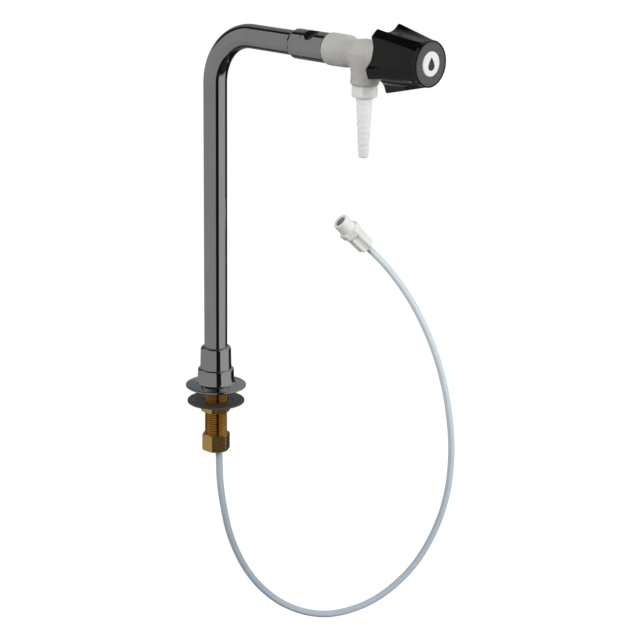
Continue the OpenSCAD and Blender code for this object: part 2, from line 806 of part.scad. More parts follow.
// Screwed neck of the valve, which guides the jumper and carries the stem's thread
module bonnet() {
    color(white_color)
        on_arm(0)
            difference() {
                union() {
                    translate([0, 0, bonnet_tip])
                        cylinder(d = bonnet_d, h = bonnet_x - bonnet_tip + cut);
                    hex_prism(bonnet_af, bonnet_x, bonnet_x + bonnet_hex_h, seat_chamfer, nut_chamfer);
                    translate([0, 0, bonnet_x])
                        cylinder(d = bonnet_nose_d, h = bonnet_end - bonnet_x);
                }
                translate([0, 0, bonnet_tip - cut])
                    cylinder(r = jumper_d / 2 + run_clear, h = guide_len + cut);
                translate([0, 0, bonnet_tip])
                    cylinder(r = stem_bore_r, h = bonnet_end - bonnet_tip + cut);
            }
}

// Flat seal under the bonnet's hex
module bonnet_gasket() {
    color(rubber_color)
        on_arm(neck_end)
            tube_ring(bonnet_d / 2 + seat_clear, bonnet_af / 2 - seat_clear, 0, bonnet_gasket_t);
}

// Plug that closes on the seat, moved by the stem and free of its turning
module jumper() {
    nose_r = nose_d / 2 + run_clear;
    nose_z = jumper_len - nose_len - face_clear;
    color(white_color)
        on_arm(jumper_x)
            rotate_extrude()
                polygon([
                    [0, 0], [jumper_d / 2, 0], [jumper_d / 2, jumper_len],
                    [nose_r, jumper_len], [nose_r, nose_z], [0, nose_z]
                ]);
}

// Soft disc on the jumper's face
module seat_washer() {
    color(rubber_color)
        on_arm(jumper_x - seat_washer_t)
            cylinder(d = seat_washer_d, h = seat_washer_t);
}

// Valve stem: nose, thread, packing grooves and square
module stem() {
    groove_r = stem_r - packing_d;
    groove_half = packing_d * groove_ratio / 2;
    seat_z = web_x - face_clear;
    thread_top = packing_x[1] - packing_d;
    thread_len = thread_top - stem_shoulder - stem_lead;
    teeth_count = floor(thread_len / stem_lead);
    color(white_color)
        on_arm(0)
            difference() {
                union() {
                    rotate_extrude()
                        polygon(concat(
                            [[0, seat_z], [stem_r, seat_z]],
                            [for (i = [0:1]) each [
                                [stem_r, packing_x[i] + groove_half], [groove_r, packing_x[i] + groove_half],
                                [groove_r, packing_x[i] - groove_half], [stem_r, packing_x[i] - groove_half]
                            ]],
                            teeth(stem_r, stem_thread_depth, stem_lead, thread_top, teeth_count),
                            [[stem_r - stem_thread_depth, thread_top - teeth_count * stem_lead]],
                            [[stem_r - stem_thread_depth, stem_shoulder], [nose_d / 2, stem_shoulder]],
                            [[nose_d / 2, jumper_end - nose_len], [0, jumper_end - nose_len]]
                        ));
                    translate([-square_w / 2, -square_w / 2, seat_z - cut])
                        cube([square_w, square_w, stem_end - seat_z + cut]);
                }
                translate([0, 0, well_x - screw_len - cut])
                    cylinder(r = screw_d / 2 + seat_clear, h = screw_len + 2 * cut);
            }
}

// Two packing rings in the stem's grooves
module stem_packing() {
    color(rubber_color)
        for (x = packing_x)
            on_arm(x)
                o_ring(stem_bore_r - packing_d / 2 - run_clear / 2, packing_d);
}

// One hollow between two lobes, running out at the front rim
module knob_hollow() {
    slope = atan((hollow_r - hollow_front_r) / (knob_depth - knob_rim));
    translate([hollow_r, 0, 0])
        rotate([0, -slope, 0])
            translate([0, 0, -knob_rim])
                union() {
                    for (side = [-1, 1])
                        translate([hollow_side_r, side * hollow_half, 0])
                            cylinder(r = hollow_side_r, h = knob_depth);
                    translate([0, -hollow_half, 0])
                        cube([2 * hollow_side_r, 2 * hollow_half, knob_depth]);
                }
}

// Black hand knob: flared lobes, hollows between them, front rim and rear cavity
module knob() {
    lobe_angle = 360 / knob_lobes;
    rim_z = knob_depth - knob_rim;
    color(black_color)
        on_arm(knob_x)
            difference() {
                union() {
                    difference() {
                        cylinder(r1 = knob_rear_r, r2 = knob_front_r + lobe_front, h = rim_z);
                        for (i = [0:knob_lobes - 1])
                            rotate([0, 0, 180 - knob_turn + (i + 0.5) * lobe_angle])
                                knob_hollow();
                    }
                    rotate_extrude()
                        polygon(concat(
                            [[0, rim_z - cut], [hollow_front_r - cut, rim_z - cut], [knob_front_r, rim_z]],
                            arc([knob_front_r - knob_round, knob_depth - knob_round], knob_round, 0, 90),
                            [[0, knob_depth]]
                        ));
                }
                translate([0, 0, -cut])
                    cylinder(r = knob_cavity_r, h = knob_cavity + cut);
                translate([-square_w / 2 - seat_clear, -square_w / 2 - seat_clear, knob_cavity - cut])
                    cube([square_w + 2 * seat_clear, square_w + 2 * seat_clear, knob_web + 2 * cut]);
                translate([0, 0, well_x - knob_x])
                    cylinder(d = well_d, h = knob_depth);
                translate([0, 0, knob_depth - index_t])
                    cylinder(r = index_r + seat_clear, h = index_t + cut);
            }
}

// Grey ring on the knob's face
module index_ring() {
    color(grey_color)
        on_arm(index_x)
            tube_ring(button_r + seat_clear, index_r, 0, index_t);
}

// White disc in the ring, with a plug in the screw's well
module index_button() {
    plug_len = index_x - well_x - screw_head_h - cut;
    plug_r = well_d / 2 - seat_clear;
    top_z = index_t + button_crown;
    color(white_color)
        on_arm(index_x)
            rotate_extrude()
                polygon([
                    [0, -plug_len], [plug_r, -plug_len], [plug_r, 0], [button_r, 0],
                    [button_r, index_t], [button_r - button_crown, top_z], [0, top_z]
                ]);
}

// Screw that holds the knob on the stem's square
module handle_screw() {
    color(steel_color)
        on_arm(well_x)
            difference() {
                union() {
                    cylinder(d = screw_head_d, h = screw_head_h);
                    translate([0, 0, -screw_len])
                        cylinder(d = screw_d, h = screw_len + cut);
                }
                translate([-screw_head_d, -slot_w / 2, screw_head_h / 2])
                    cube([2 * screw_head_d, slot_w, screw_head_h]);
            }
}

// Dark steel washer under the deck
module deck_washer() {
    color(steel_color)
        translate([0, 0, washer_z])
            tube_ring(shank_r + washer_play, washer_d / 2, 0, washer_t);
}

// Thin brass hex nut that clamps the deck
module locknut() {
    color(brass_color)
        difference() {
            hex_prism(locknut_af, locknut_top - locknut_h, locknut_top, nut_chamfer, seat_chamfer);
            translate([0, 0, locknut_top - locknut_h - cut])
                cylinder(r = shank_r + run_clear, h = locknut_h + 2 * cut);
        }
}

// Free plastic tube from the coupling nut round its loop into the connector
module supply_tube() {
    last = len(tube_route) - 1;
    before = 2 * tube_route[0] - tube_route[1];
    after = connector_at + tube_insert * connector_dir;
    ends = concat([before], tube_route, [after]);
    path = concat(
        [for (i = [0:last - 1]) for (s = [0:tube_steps - 1])
            curve(ends[i], ends[i + 1], ends[i + 2], ends[i + 3], s / tube_steps)],
        [connector_at, connector_at + tube_insert / 2 * connector_dir, after]
    );
    count = len(path);
    tangents = [for (i = [0:count - 1])
        i == 0 ? [0, -1] : i >= count - 3 ? connector_dir : path[i + 1] - path[i - 1]];
    points = [for (i = [0:count - 1]) for (k = [0:tube_sides - 1])
        let (t = tangents[i] / norm(tangents[i]), a = 360 * k / tube_sides)
        [
            path[i][0] - tube_r_free * cos(a) * t[1],
            tube_r_free * sin(a),
            path[i][1] + tube_r_free * cos(a) * t[0]
        ]];
    sides = [for (i = [0:count - 2]) for (k = [0:tube_sides - 1])
        let (n = (k + 1) % tube_sides, low = i * tube_sides, high = low + tube_sides)
        each [[low + k, high + k, high + n], [low + k, high + n, low + n]]];
    start_cap = [[for (k = [0:tube_sides - 1]) k]];
    end_cap = [[for (k = [tube_sides - 1:-1:0]) (count - 1) * tube_sides + k]];
    color(milky_color)
        rotate([0, 0, loop_turn])
            polyhedron(points, concat(sides, start_cap, end_cap));
}

// White male connector with hex flange and the thread for the compression nut
module connector_body() {
    hole_r = tube_r_free + seat_clear;
    mouth = male_chamfer + cut;
    color(white_color)
        on_connector()
            difference() {
                union() {
                    translate([0, 0, conn_body_z])
                        cylinder(r = conn_thread_r, h = male_z - conn_body_z);
                    hex_prism(conn_hex_af, conn_hex_z, male_z, conn_hex_chamfer, conn_hex_chamfer);
                    rotate_extrude()
                        polygon([
                            [0, male_z - cut], [male_root_r, male_z - cut], [male_root_r, male_z],
                            [male_tip_r, conn_tip_z - male_chamfer], [male_tip_r - male_chamfer, conn_tip_z],
                            [0, conn_tip_z]
                        ]);
                }
                translate([0, 0, conn_body_z - cut])
                    cylinder(r = hole_r, h = tube_insert + face_clear - conn_body_z + cut);
                translate([0, 0, conn_body_z])
                    cylinder(d = passage_d, h = conn_tip_z);
                translate([0, 0, male_z])
                    cylinder(d = male_bore_d, h = male_len + cut);
                translate([0, 0, conn_tip_z - male_chamfer])
                    cylinder(d1 = male_bore_d, d2 = male_bore_d + 2 * mouth, h = mouth);
            }
}

// White compression nut with channels along its faces
module connector_nut() {
    color(white_color)
        on_connector()
            difference() {
                hex_prism(conn_nut_af, 0, conn_nut_len, conn_nut_chamfer, seat_chamfer);
                for (i = [0:5])
                    rotate([0, 0, 30 + 60 * i])
                        translate([conn_nut_af / 2 + channel_r - channel_depth, 0, -cut])
                            cylinder(r = channel_r, h = conn_nut_len - cut);
                translate([0, 0, -cut])
                    cylinder(r = tube_r_free + 2 * seat_clear, h = conn_nut_len);
                translate([0, 0, conn_nut_wall])
                    cylinder(r = conn_thread_r + seat_clear, h = conn_nut_len);
            }
}

// Sleeve that grips the tube inside the compression nut
module connector_ferrule() {
    color(white_color)
        on_connector()
            rotate_extrude()
                polygon([
                    [tube_r_free + 2 * seat_clear, conn_nut_wall], [conn_thread_r, conn_nut_wall],
                    [conn_thread_r, conn_nut_wall + ferrule_len / 2],
                    [conn_thread_r - ferrule_wall / 2, conn_ferrule_end],
                    [tube_r_free + 2 * seat_clear, conn_ferrule_end]
                ]);
}

turret();
shank();
coupling_nut();
swivel_bearing();
swivel_o_rings();
supply_tube();
connector_body();
connector_nut();
connector_ferrule();
deck_washer();
locknut();
gooseneck_tube();
retaining_ring();
spout_adapter();
liner_tube();
liner_ferrule();
valve_body();
hose_nozzle();
nozzle_gasket();
bonnet();
bonnet_gasket();
jumper();
seat_washer();
stem();
stem_packing();
knob();
index_ring();
index_button();
handle_screw();
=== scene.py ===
import json
import math

import bmesh
import bpy
import numpy as np
from mathutils import Matrix, Vector


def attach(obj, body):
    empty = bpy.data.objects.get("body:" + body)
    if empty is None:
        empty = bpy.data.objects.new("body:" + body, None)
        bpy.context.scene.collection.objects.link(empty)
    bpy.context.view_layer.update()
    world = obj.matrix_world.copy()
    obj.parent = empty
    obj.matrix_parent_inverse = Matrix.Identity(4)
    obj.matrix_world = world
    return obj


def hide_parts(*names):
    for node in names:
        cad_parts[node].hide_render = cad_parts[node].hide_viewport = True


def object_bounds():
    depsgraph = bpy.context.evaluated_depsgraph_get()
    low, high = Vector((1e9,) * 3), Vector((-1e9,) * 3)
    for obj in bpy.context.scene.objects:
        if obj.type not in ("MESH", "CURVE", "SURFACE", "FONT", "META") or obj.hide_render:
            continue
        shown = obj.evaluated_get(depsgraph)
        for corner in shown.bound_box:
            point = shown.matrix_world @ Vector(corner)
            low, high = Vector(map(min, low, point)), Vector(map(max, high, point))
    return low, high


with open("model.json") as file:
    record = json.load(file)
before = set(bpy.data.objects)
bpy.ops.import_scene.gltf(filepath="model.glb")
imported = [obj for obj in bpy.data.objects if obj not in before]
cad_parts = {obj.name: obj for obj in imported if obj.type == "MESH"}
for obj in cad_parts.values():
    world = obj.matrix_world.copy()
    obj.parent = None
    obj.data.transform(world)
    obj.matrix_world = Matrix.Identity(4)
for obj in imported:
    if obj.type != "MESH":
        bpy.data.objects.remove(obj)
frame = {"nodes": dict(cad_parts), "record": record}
cad_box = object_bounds()

MM = 0.001
TURN = 2 * math.pi
QUARTER = math.pi / 2
HALF_SIDE = math.pi / 6  # half the angle that a hexagon's side takes up
FAR = 99.0  # a radius beyond every piece, in millimetres

# Sizes of the part, in millimetres
TUBE_R = 10.67
TUBE_BORE_R = 9.07
BEND_R = 47.0
ARM_Z = 331.8
REACH = 179.0
POST_BOTTOM = 12.05
ARM_END = 112.25
ADAPTER_X = 98.8
INLET_X = 139.8
SPIGOT_END = 151.8
NECK_END = 202.0
KNOB_X = 204.0
SHANK_R = 10.45
PITCH = 1.814
THREAD_DEPTH = 0.9


# Mesh helpers

FILLET_SHARE = 0.45  # of an edge's length, at most, goes to the fillet at either end
LEAST_TANGENT = 1e-3
CHAMFER_RISE = 0.6  # height of a hexagon's chamfer, for each length that it takes off the corners


def angles(sides):
    return np.arange(sides) * (TURN / sides)


def rounded(corners, steps=4, closed=True):
    """Turns corners (r, z, fillet) into a profile with each fillet as a short curve."""
    out = []
    count = len(corners)
    for i, corner in enumerate(corners):
        p = np.array(corner[:2], float)
        fillet = corner[2] if len(corner) > 2 else 0.0
        if fillet <= 0 or (not closed and i in (0, count - 1)):
            out.append(tuple(p))
            continue
        a = np.array(corners[i - 1][:2], float) - p
        b = np.array(corners[(i + 1) % count][:2], float) - p
        la, lb = np.linalg.norm(a), np.linalg.norm(b)
        cosine = float(np.clip(np.dot(a, b) / (la * lb), -1, 1))
        reach = fillet / max(math.tan(math.acos(cosine) / 2), LEAST_TANGENT)
        reach = min(reach, FILLET_SHARE * la, FILLET_SHARE * lb)
        start, end = p + a / la * reach, p + b / lb * reach
        for s in np.linspace(0, 1, steps + 1):
            q = (1 - s) ** 2 * start + 2 * s * (1 - s) * p + s * s * end
            out.append((float(q[0]), float(q[1])))
    return out


def ring_faces(count, sides):
    """Quads from each ring of points to the next, and from the last back to the first."""
    k = np.arange(sides)
    n = (k + 1) % sides
    faces = []
    for i in range(count):
        low, high = i * sides, ((i + 1) % count) * sides
        faces.append(np.stack([low + k, low + n, high + n, high + k], axis=1))
    return np.concatenate(faces).tolist()


def revolve(rings, sides):
    """Mesh from rings of (radius, z), where a radius is one number or one number per side."""
    ang = angles(sides)
    cos, sin = np.cos(ang), np.sin(ang)
    verts = []
    for radius, z in rings:
        r = np.broadcast_to(np.asarray(radius, float), (sides,))
        verts.append(np.stack([r * cos, r * sin, np.full(sides, float(z))], axis=1))
    return np.concatenate(verts), ring_faces(len(rings), sides)


def on_arm(verts, x=0.0):
    """Stands a shape drawn about the Z axis on the arm's axis, with its base at x."""
    return np.stack([x + verts[:, 2], verts[:, 1], ARM_Z - verts[:, 0]], axis=1)


def hex_radius(ang, flats, corner):
    """Radius of a hexagon with rounded corners, with a corner at angle 0."""
    half = flats / 2
    from_corner = np.abs((ang + HALF_SIDE) % (2 * HALF_SIDE) - HALF_SIDE)
    plain = half / np.cos(HALF_SIDE - from_corner)
    centre = (half - corner) / math.cos(HALF_SIDE)
    inside = np.maximum(corner ** 2 - (centre * np.sin(from_corner)) ** 2, 0)
    arc = centre * np.cos(from_corner) + np.sqrt(inside)
    on_flat = plain * np.sin(HALF_SIDE - from_corner) <= centre / 2
    return np.where(on_flat, plain, arc)


def hex_rings(ang, flats, z0, z1, low, high, corner, edge):
    """Rings of a hex prism whose corners are turned down by low and high at its ends."""
    plain = hex_radius(ang, flats, corner)
    tip = flats / 2 / math.cos(HALF_SIDE)
    low_z, high_z = z0 + low * CHAMFER_RISE, z1 - high * CHAMFER_RISE
    stations = sorted(set(
        [z0 + edge * t for t in (0.3, 1.0)]
        + list(np.linspace(z0 + 2 * edge, low_z, 7))
        + list(np.linspace(low_z, high_z, 5))
        + list(np.linspace(high_z, z1 - 2 * edge, 7))
        + [z1 - edge * t for t in (1.0, 0.3)]
    ))
    rings = []
    for z in stations:
        limit = tip
        if z < low_z:
            limit = tip - low + (z - z0) / CHAMFER_RISE
        if z > high_z:
            limit = min(limit, tip - high + (z1 - z) / CHAMFER_RISE)
        rings.append((np.minimum(plain, limit), z))
    first, last = rings[0][0] - edge, rings[-1][0] - edge
    return [(first, z0)] + rings + [(last, z1)]


def soft_union(a, b, width):
    """Smaller of two fields or radii, with a rounded transition of the given width."""
    blend = np.maximum(width - np.abs(a - b), 0) / width
    return np.minimum(a, b) - blend * blend * width / 4


def surface_net(field, low, step):
    """Mesh of the zero level of a field sampled on a grid, as one vertex per crossed cell."""
    inside = field < 0
    shape = np.array(field.shape) - 1
    total = np.zeros((*shape, 3))
    hits = np.zeros(shape)
    corners = [(i, j, k) for i in (0, 1) for j in (0, 1) for k in (0, 1)]

    def part(values, at):
        return values[at[0]:at[0] + shape[0], at[1]:at[1] + shape[1], at[2]:at[2] + shape[2]]

    for a in corners:
        for axis in range(3):
            if a[axis] == 1:
                continue
            b = tuple(1 if d == axis else a[d] for d in range(3))
            fa, fb = part(field, a), part(field, b)
            crossed = part(inside, a) != part(inside, b)
            share = np.where(crossed, fa / np.where(crossed, fa - fb, 1.0), 0.0)
            point = np.zeros((*shape, 3)) + np.array(a, float)
            point[..., axis] += share
            total += np.where(crossed[..., None], point, 0.0)
            hits += crossed
    used = hits > 0
    index = -np.ones(shape, int)
    index[used] = np.arange(int(used.sum()))
    cells = np.argwhere(used)
    verts = np.array(low) + step * (cells + total[used] / hits[used][:, None])
    faces = []
    for axis in range(3):
        u, v = (axis + 1) % 3, (axis + 2) % 3
        first = [slice(None)] * 3
        second = [slice(None)] * 3
        first[axis], second[axis] = slice(0, -1), slice(1, None)
        crossed = np.argwhere(inside[tuple(first)] != inside[tuple(second)])
        for at in crossed:
            if at[u] < 1 or at[v] < 1 or at[u] >= shape[u] or at[v] >= shape[v]:
                continue
            quad = []
            for du, dv in ((1, 1), (0, 1), (0, 0), (1, 0)):
                c = at.copy()
                c[u] -= du
                c[v] -= dv
                quad.append(int(index[tuple(c)]))
            if not inside[tuple(at)]:
                quad.reverse()
            faces.append(quad)
    return verts, faces


def add_piece(name, verts, faces, material, body, nodes, sharp=32.0):
    """Makes a mesh piece from points in millimetres and hangs it on its body."""
    mesh = bpy.data.meshes.new(name)
    mesh.from_pydata((np.asarray(verts) * MM).tolist(), [], faces)
    bm = bmesh.new()
    bm.from_mesh(mesh)
    bmesh.ops.recalc_face_normals(bm, faces=bm.faces)
    limit = math.radians(sharp)
    for face in bm.faces:
        face.smooth = True
    for edge in bm.edges:
        edge.smooth = edge.calc_face_angle(0.0) < limit
    bm.to_mesh(mesh)
    bm.free()
    mesh.materials.append(material)
    piece = bpy.data.objects.new(name, mesh)
    bpy.context.scene.collection.objects.link(piece)
    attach(piece, body)
    if nodes:
        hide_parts(*nodes)
    return piece


# Node helpers

def grey(value, cool=0.0):
    return (value * (1 - cool), value, value * (1 + cool))


def split_coords(tree, kind):
    coords = tree.nodes.new("ShaderNodeTexCoord")
    split = tree.nodes.new("ShaderNodeSeparateXYZ")
    tree.links.new(coords.outputs[kind], split.inputs["Vector"])
    return split.outputs


def math_node(tree, operation, *values):
    """Adds a math node whose inputs are numbers or outputs of other nodes."""
    node = tree.nodes.new("ShaderNodeMath")
    node.operation = operation
    for socket, value in zip(node.inputs, values):
        if isinstance(value, (int, float)):
            socket.default_value = value
        else:
            tree.links.new(value, socket)
    return node.outputs["Value"]


def mix_node(tree, factor, a, b, blend="MIX"):
    """Adds a mix of two colours, each given as a tuple or as the output of another node."""
    node = tree.nodes.new("ShaderNodeMix")
    node.data_type = "RGBA"
    node.blend_type = blend
    tree.links.new(factor, node.inputs["Factor"])
    colours = [socket for socket in node.inputs if socket.type == "RGBA"]
    for socket, value in zip(colours, (a, b)):
        if isinstance(value, tuple):
            socket.default_value = (*value, 1)
        else:
            tree.links.new(value, socket)
    return [socket for socket in node.outputs if socket.type == "RGBA"][0]


def ease_node(tree, value, start, end):
    """Goes smoothly from 0 to 1 while a value goes from start to end."""
    node = tree.nodes.new("ShaderNodeMapRange")
    node.interpolation_type = "SMOOTHSTEP"
    node.inputs["From Min"].default_value = start
    node.inputs["From Max"].default_value = end
    tree.links.new(value, node.inputs["Value"])
    return node.outputs["Result"]


def ramp_node(tree, value, stops):
    """Turns a value into a colour, by stops of (position, colour)."""
    ramp = tree.nodes.new("ShaderNodeValToRGB")
    elements = ramp.color_ramp.elements
    while len(elements) > 1:
        elements.remove(elements[0])
    elements[0].position, elements[0].color = stops[0][0], (*stops[0][1], 1)
    for position, colour in stops[1:]:
        elements.new(position).color = (*colour, 1)
    tree.links.new(value, ramp.inputs["Fac"])
    return ramp.outputs["Color"]


# Material helpers

# Values of a noise between which colour and roughness go from low to high
COLOUR_SPAN = (0.35, 0.65)
ROUGHNESS_SPAN = (0.3, 0.7)


def shader_of(material):
    return material.node_tree.nodes["Principled BSDF"]


def noise_of(material, scale, detail, stretch=(1, 1, 1)):
    """Adds a noise that lies fixed on the piece."""
    tree = material.node_tree
    coords = tree.nodes.new("ShaderNodeTexCoord")
    mapping = tree.nodes.new("ShaderNodeMapping")
    mapping.inputs["Scale"].default_value = stretch
    noise = tree.nodes.new("ShaderNodeTexNoise")
    noise.inputs["Scale"].default_value = scale
    noise.inputs["Detail"].default_value = detail
    tree.links.new(coords.outputs["Object"], mapping.inputs["Vector"])
    tree.links.new(mapping.outputs["Vector"], noise.inputs["Vector"])
    return noise.outputs["Fac"]


def new_material(name, colour, roughness, **sockets):
    """Makes a material whose colour and roughness follow a noise, each given as (noise, low, high)."""
    material = bpy.data.materials.new(name)
    material.use_nodes = True
    tree, shader = material.node_tree, shader_of(material)
    for socket, value in sockets.items():
        shader.inputs[socket.replace("_", " ").title().replace("Ior", "IOR")].default_value = value
    noise, *colours = colour
    mottled = ramp_node(tree, noise_of(material, *noise), list(zip(COLOUR_SPAN, colours)))
    tree.links.new(mottled, shader.inputs["Base Color"])
    noise, *limits = roughness
    source = noise_of(material, *noise)
    spread = tree.nodes.new("ShaderNodeMapRange")
    for key, value in zip(("From Min", "From Max", "To Min", "To Max"), (*ROUGHNESS_SPAN, *limits)):
        spread.inputs[key].default_value = value
    tree.links.new(source, spread.inputs["Value"])
    tree.links.new(spread.outputs["Result"], shader.inputs["Roughness"])
    return material


def along(material, axis, start, end):
    """Goes from 0 to 1 between two places, in millimetres, along one of the part's axes."""
    tree = material.node_tree
    return ease_node(tree, split_coords(tree, "Object")[axis], start * MM, end * MM)


def thread_roots(material):
    """Goes from 0 at the crests to 1 at the roots of the shank's thread, where shade is painted."""
    tree = material.node_tree
    place = split_coords(tree, "Object")
    around = math_node(tree, "DIVIDE", math_node(tree, "ARCTAN2", place["Y"], place["X"]), TURN)
    rise = math_node(tree, "DIVIDE", place["Z"], PITCH * MM)
    phase = math_node(tree, "FRACT", math_node(tree, "SUBTRACT", rise, around))
    both_ways = math_node(tree, "SUBTRACT", math_node(tree, "MULTIPLY", phase, 2.0), 1.0)
    return math_node(tree, "ABSOLUTE", both_ways)


def grade_colour(material, grade, tint):
    """Multiplies the colour so far by a tint where the grade is 1."""
    tree = material.node_tree
    colour = shader_of(material).inputs["Base Color"]
    tree.links.new(mix_node(tree, grade, colour.links[0].from_socket, tint, "MULTIPLY"), colour)


def add_bump(material, source, distance, strength):
    tree = material.node_tree
    bump = tree.nodes.new("ShaderNodeBump")
    bump.inputs["Strength"].default_value = strength
    bump.inputs["Distance"].default_value = distance
    tree.links.new(source, bump.inputs["Height"])
    tree.links.new(bump.outputs["Normal"], shader_of(material).inputs["Normal"])


def soften_shading(material, keep, lift):
    """Bends the shading normals, so that a milky piece is lit evenly, as by light that spreads in it."""
    tree = material.node_tree
    coords = tree.nodes.new("ShaderNodeTexCoord")
    bent = tree.nodes.new("ShaderNodeVectorMath")
    bent.operation = "MULTIPLY_ADD"
    bent.inputs[1].default_value = keep
    bent.inputs[2].default_value = lift
    unit = tree.nodes.new("ShaderNodeVectorMath")
    unit.operation = "NORMALIZE"
    turned = tree.nodes.new("ShaderNodeVectorTransform")
    turned.vector_type = "NORMAL"
    turned.convert_from, turned.convert_to = "OBJECT", "WORLD"
    tree.links.new(coords.outputs["Normal"], bent.inputs[0])
    tree.links.new(bent.outputs["Vector"], unit.inputs[0])
    tree.links.new(unit.outputs["Vector"], turned.inputs["Vector"])
    tree.links.new(turned.outputs["Vector"], shader_of(material).inputs["Normal"])


# Materials

chrome = new_material(
    "chrome_plate", metallic=1.0,
    colour=((40, 3), (0.53, 0.535, 0.545), (0.565, 0.57, 0.575)), roughness=((260, 4), 0.03, 0.06))

brass = new_material(
    "machined_brass", metallic=1.0,
    colour=((160, 5), (0.96, 0.605, 0.18), (1.0, 0.645, 0.205)), roughness=((400, 3), 0.18, 0.22))
add_bump(brass, noise_of(brass, 40, 2, (1, 1, 40)), distance=0.000003, strength=0.3)

threaded_brass_root_shade = new_material(
    "threaded_brass_root_shade", metallic=1.0,
    colour=((160, 5), (0.96, 0.57, 0.15), (1.0, 0.61, 0.175)), roughness=((400, 3), 0.18, 0.22))
# Painted shade: the brass colour darkens towards the roots of the thread.
grade_colour(threaded_brass_root_shade, thread_roots(threaded_brass_root_shade), (0.36, 0.25, 0.15))

# Painted reflection: a near-black colour on the wrench flats, in place of the dark that they mirror.
painted_dark_flat = new_material(
    "painted_dark_flat", metallic=1.0,
    colour=((300, 4), (0.08, 0.08, 0.084), (0.14, 0.14, 0.145)),
    roughness=((500, 3, (1, 12, 12)), 0.2, 0.32))

dark_steel = new_material(
    "dark_steel", metallic=0.85,
    colour=((300, 8), (0.14, 0.136, 0.128), (0.26, 0.254, 0.24)), roughness=((700, 5), 0.38, 0.58))
add_bump(dark_steel, noise_of(dark_steel, 700, 6), distance=0.00003, strength=0.6)

white_plastic = new_material(
    "white_polypropylene",
    subsurface_weight=0.35, subsurface_radius=(1.0, 0.95, 0.85), subsurface_scale=0.003,
    colour=((60, 4), (0.76, 0.755, 0.72), (0.80, 0.795, 0.765)), roughness=((300, 4), 0.34, 0.46))

valve_plastic = new_material(
    "valve_polypropylene", sheen_weight=0.2, sheen_roughness=0.4,
    subsurface_weight=1.0, subsurface_radius=(1.0, 0.97, 0.9), subsurface_scale=0.006,
    colour=((60, 4), (0.47, 0.46, 0.43), (0.51, 0.50, 0.47)), roughness=((300, 4), 0.36, 0.48))

nozzle_plastic = new_material(
    "natural_polypropylene",
    subsurface_weight=1.0, subsurface_radius=(1.0, 1.0, 0.96), subsurface_scale=0.008,
    colour=((70, 4), (0.88, 0.88, 0.86), (0.91, 0.91, 0.895)), roughness=((300, 4), 0.3, 0.42))
# Painted shade: the nozzle's colour darkens towards the hex collar at the top.
grade_colour(nozzle_plastic, along(nozzle_plastic, "Z", 292, 299), (0.9, 0.89, 0.87))
soften_shading(nozzle_plastic, keep=(1, 1, 0.2), lift=(0, 0, 0))

# Painted shade: a darker colour for the inside of the connector's bore, where shade falls.
bore_painted_shade = new_material(
    "bore_painted_shade",
    colour=((90, 4), (0.36, 0.355, 0.32), (0.42, 0.415, 0.38)), roughness=((300, 4), 0.5, 0.6))

fitting_plastic = new_material(
    "fitting_plastic", specular_ior_level=0.4,
    colour=((90, 4), (0.76, 0.76, 0.73), (0.80, 0.80, 0.775)), roughness=((300, 4), 0.42, 0.55))

black_plastic = new_material(
    "black_gloss_plastic", ior=1.6, specular_tint=(1.0, 0.93, 0.92, 1.0),
    colour=((120, 4), (0.0018, 0.0015, 0.0015), (0.0032, 0.0028, 0.0028)),
    roughness=((350, 4), 0.05, 0.09))

grey_plastic = new_material(
    "satin_grey", metallic=0.25,
    colour=((400, 5), (0.1, 0.099, 0.099), (0.125, 0.124, 0.124)), roughness=((900, 3), 0.38, 0.5))

disc_white = new_material(
    "disc_white",
    colour=((200, 4), (0.81, 0.81, 0.80), (0.85, 0.85, 0.84)), roughness=((600, 3), 0.25, 0.36))

mark_ink = new_material(
    "mark_ink",
    colour=((600, 4), (0.035, 0.032, 0.031), (0.055, 0.05, 0.048)), roughness=((900, 3), 0.4, 0.55))

rubber = new_material(
    "black_rubber",
    colour=((500, 4), (0.012, 0.012, 0.012), (0.024, 0.024, 0.024)), roughness=((900, 3), 0.6, 0.8))

pale_seal = new_material(
    "pale_seal", subsurface_weight=0.4, subsurface_scale=0.002,
    colour=((300, 4), (0.66, 0.66, 0.64), (0.72, 0.72, 0.70)), roughness=((900, 3), 0.5, 0.65))

milky = new_material(
    "milky_tube",
    colour=((60, 4), (0.68, 0.755, 0.80), (0.71, 0.785, 0.83)), roughness=((300, 3), 0.24, 0.34))
# Painted shade: the tube's colour darkens towards the bottom of its loop and towards the side that hangs from
# the shank.
grade_colour(milky, along(milky, "Z", 60, -255), (0.575, 0.61, 0.655))
grade_colour(milky, along(milky, "Y", 70, 0), (0.73, 0.76, 0.79))
soften_shading(milky, keep=(0.5, 0.5, 0.5), lift=(0.0, 0.0, 0.5))

SLOT_MATERIALS = {
    "chrome": chrome,
    "brass": brass,
    "steel": dark_steel,
    "white_plastic": white_plastic,
    "black_plastic": black_plastic,
    "grey_plastic": grey_plastic,
    "rubber": rubber,
    "milky_tube": milky,
}
for subpart in frame["record"]["subparts"]:
    slots = frame["nodes"][subpart["node"]].data.materials
    slots.clear()
    slots.append(SLOT_MATERIALS[subpart["material_slot"]])
frame["nodes"]["nozzle_gasket"].data.materials[0] = pale_seal


# Camera at the photograph's viewpoint

CAMERA_AT = (1.25078, -1.19912, 0.58306)
AZIMUTH, ELEVATION, ROLL = (math.radians(v) for v in (43.1924, 16.4287, 0.7159))
SENSOR, LENS = 36.0, 109.871
SHIFT_X, SHIFT_Y = 0.008645, -0.012338

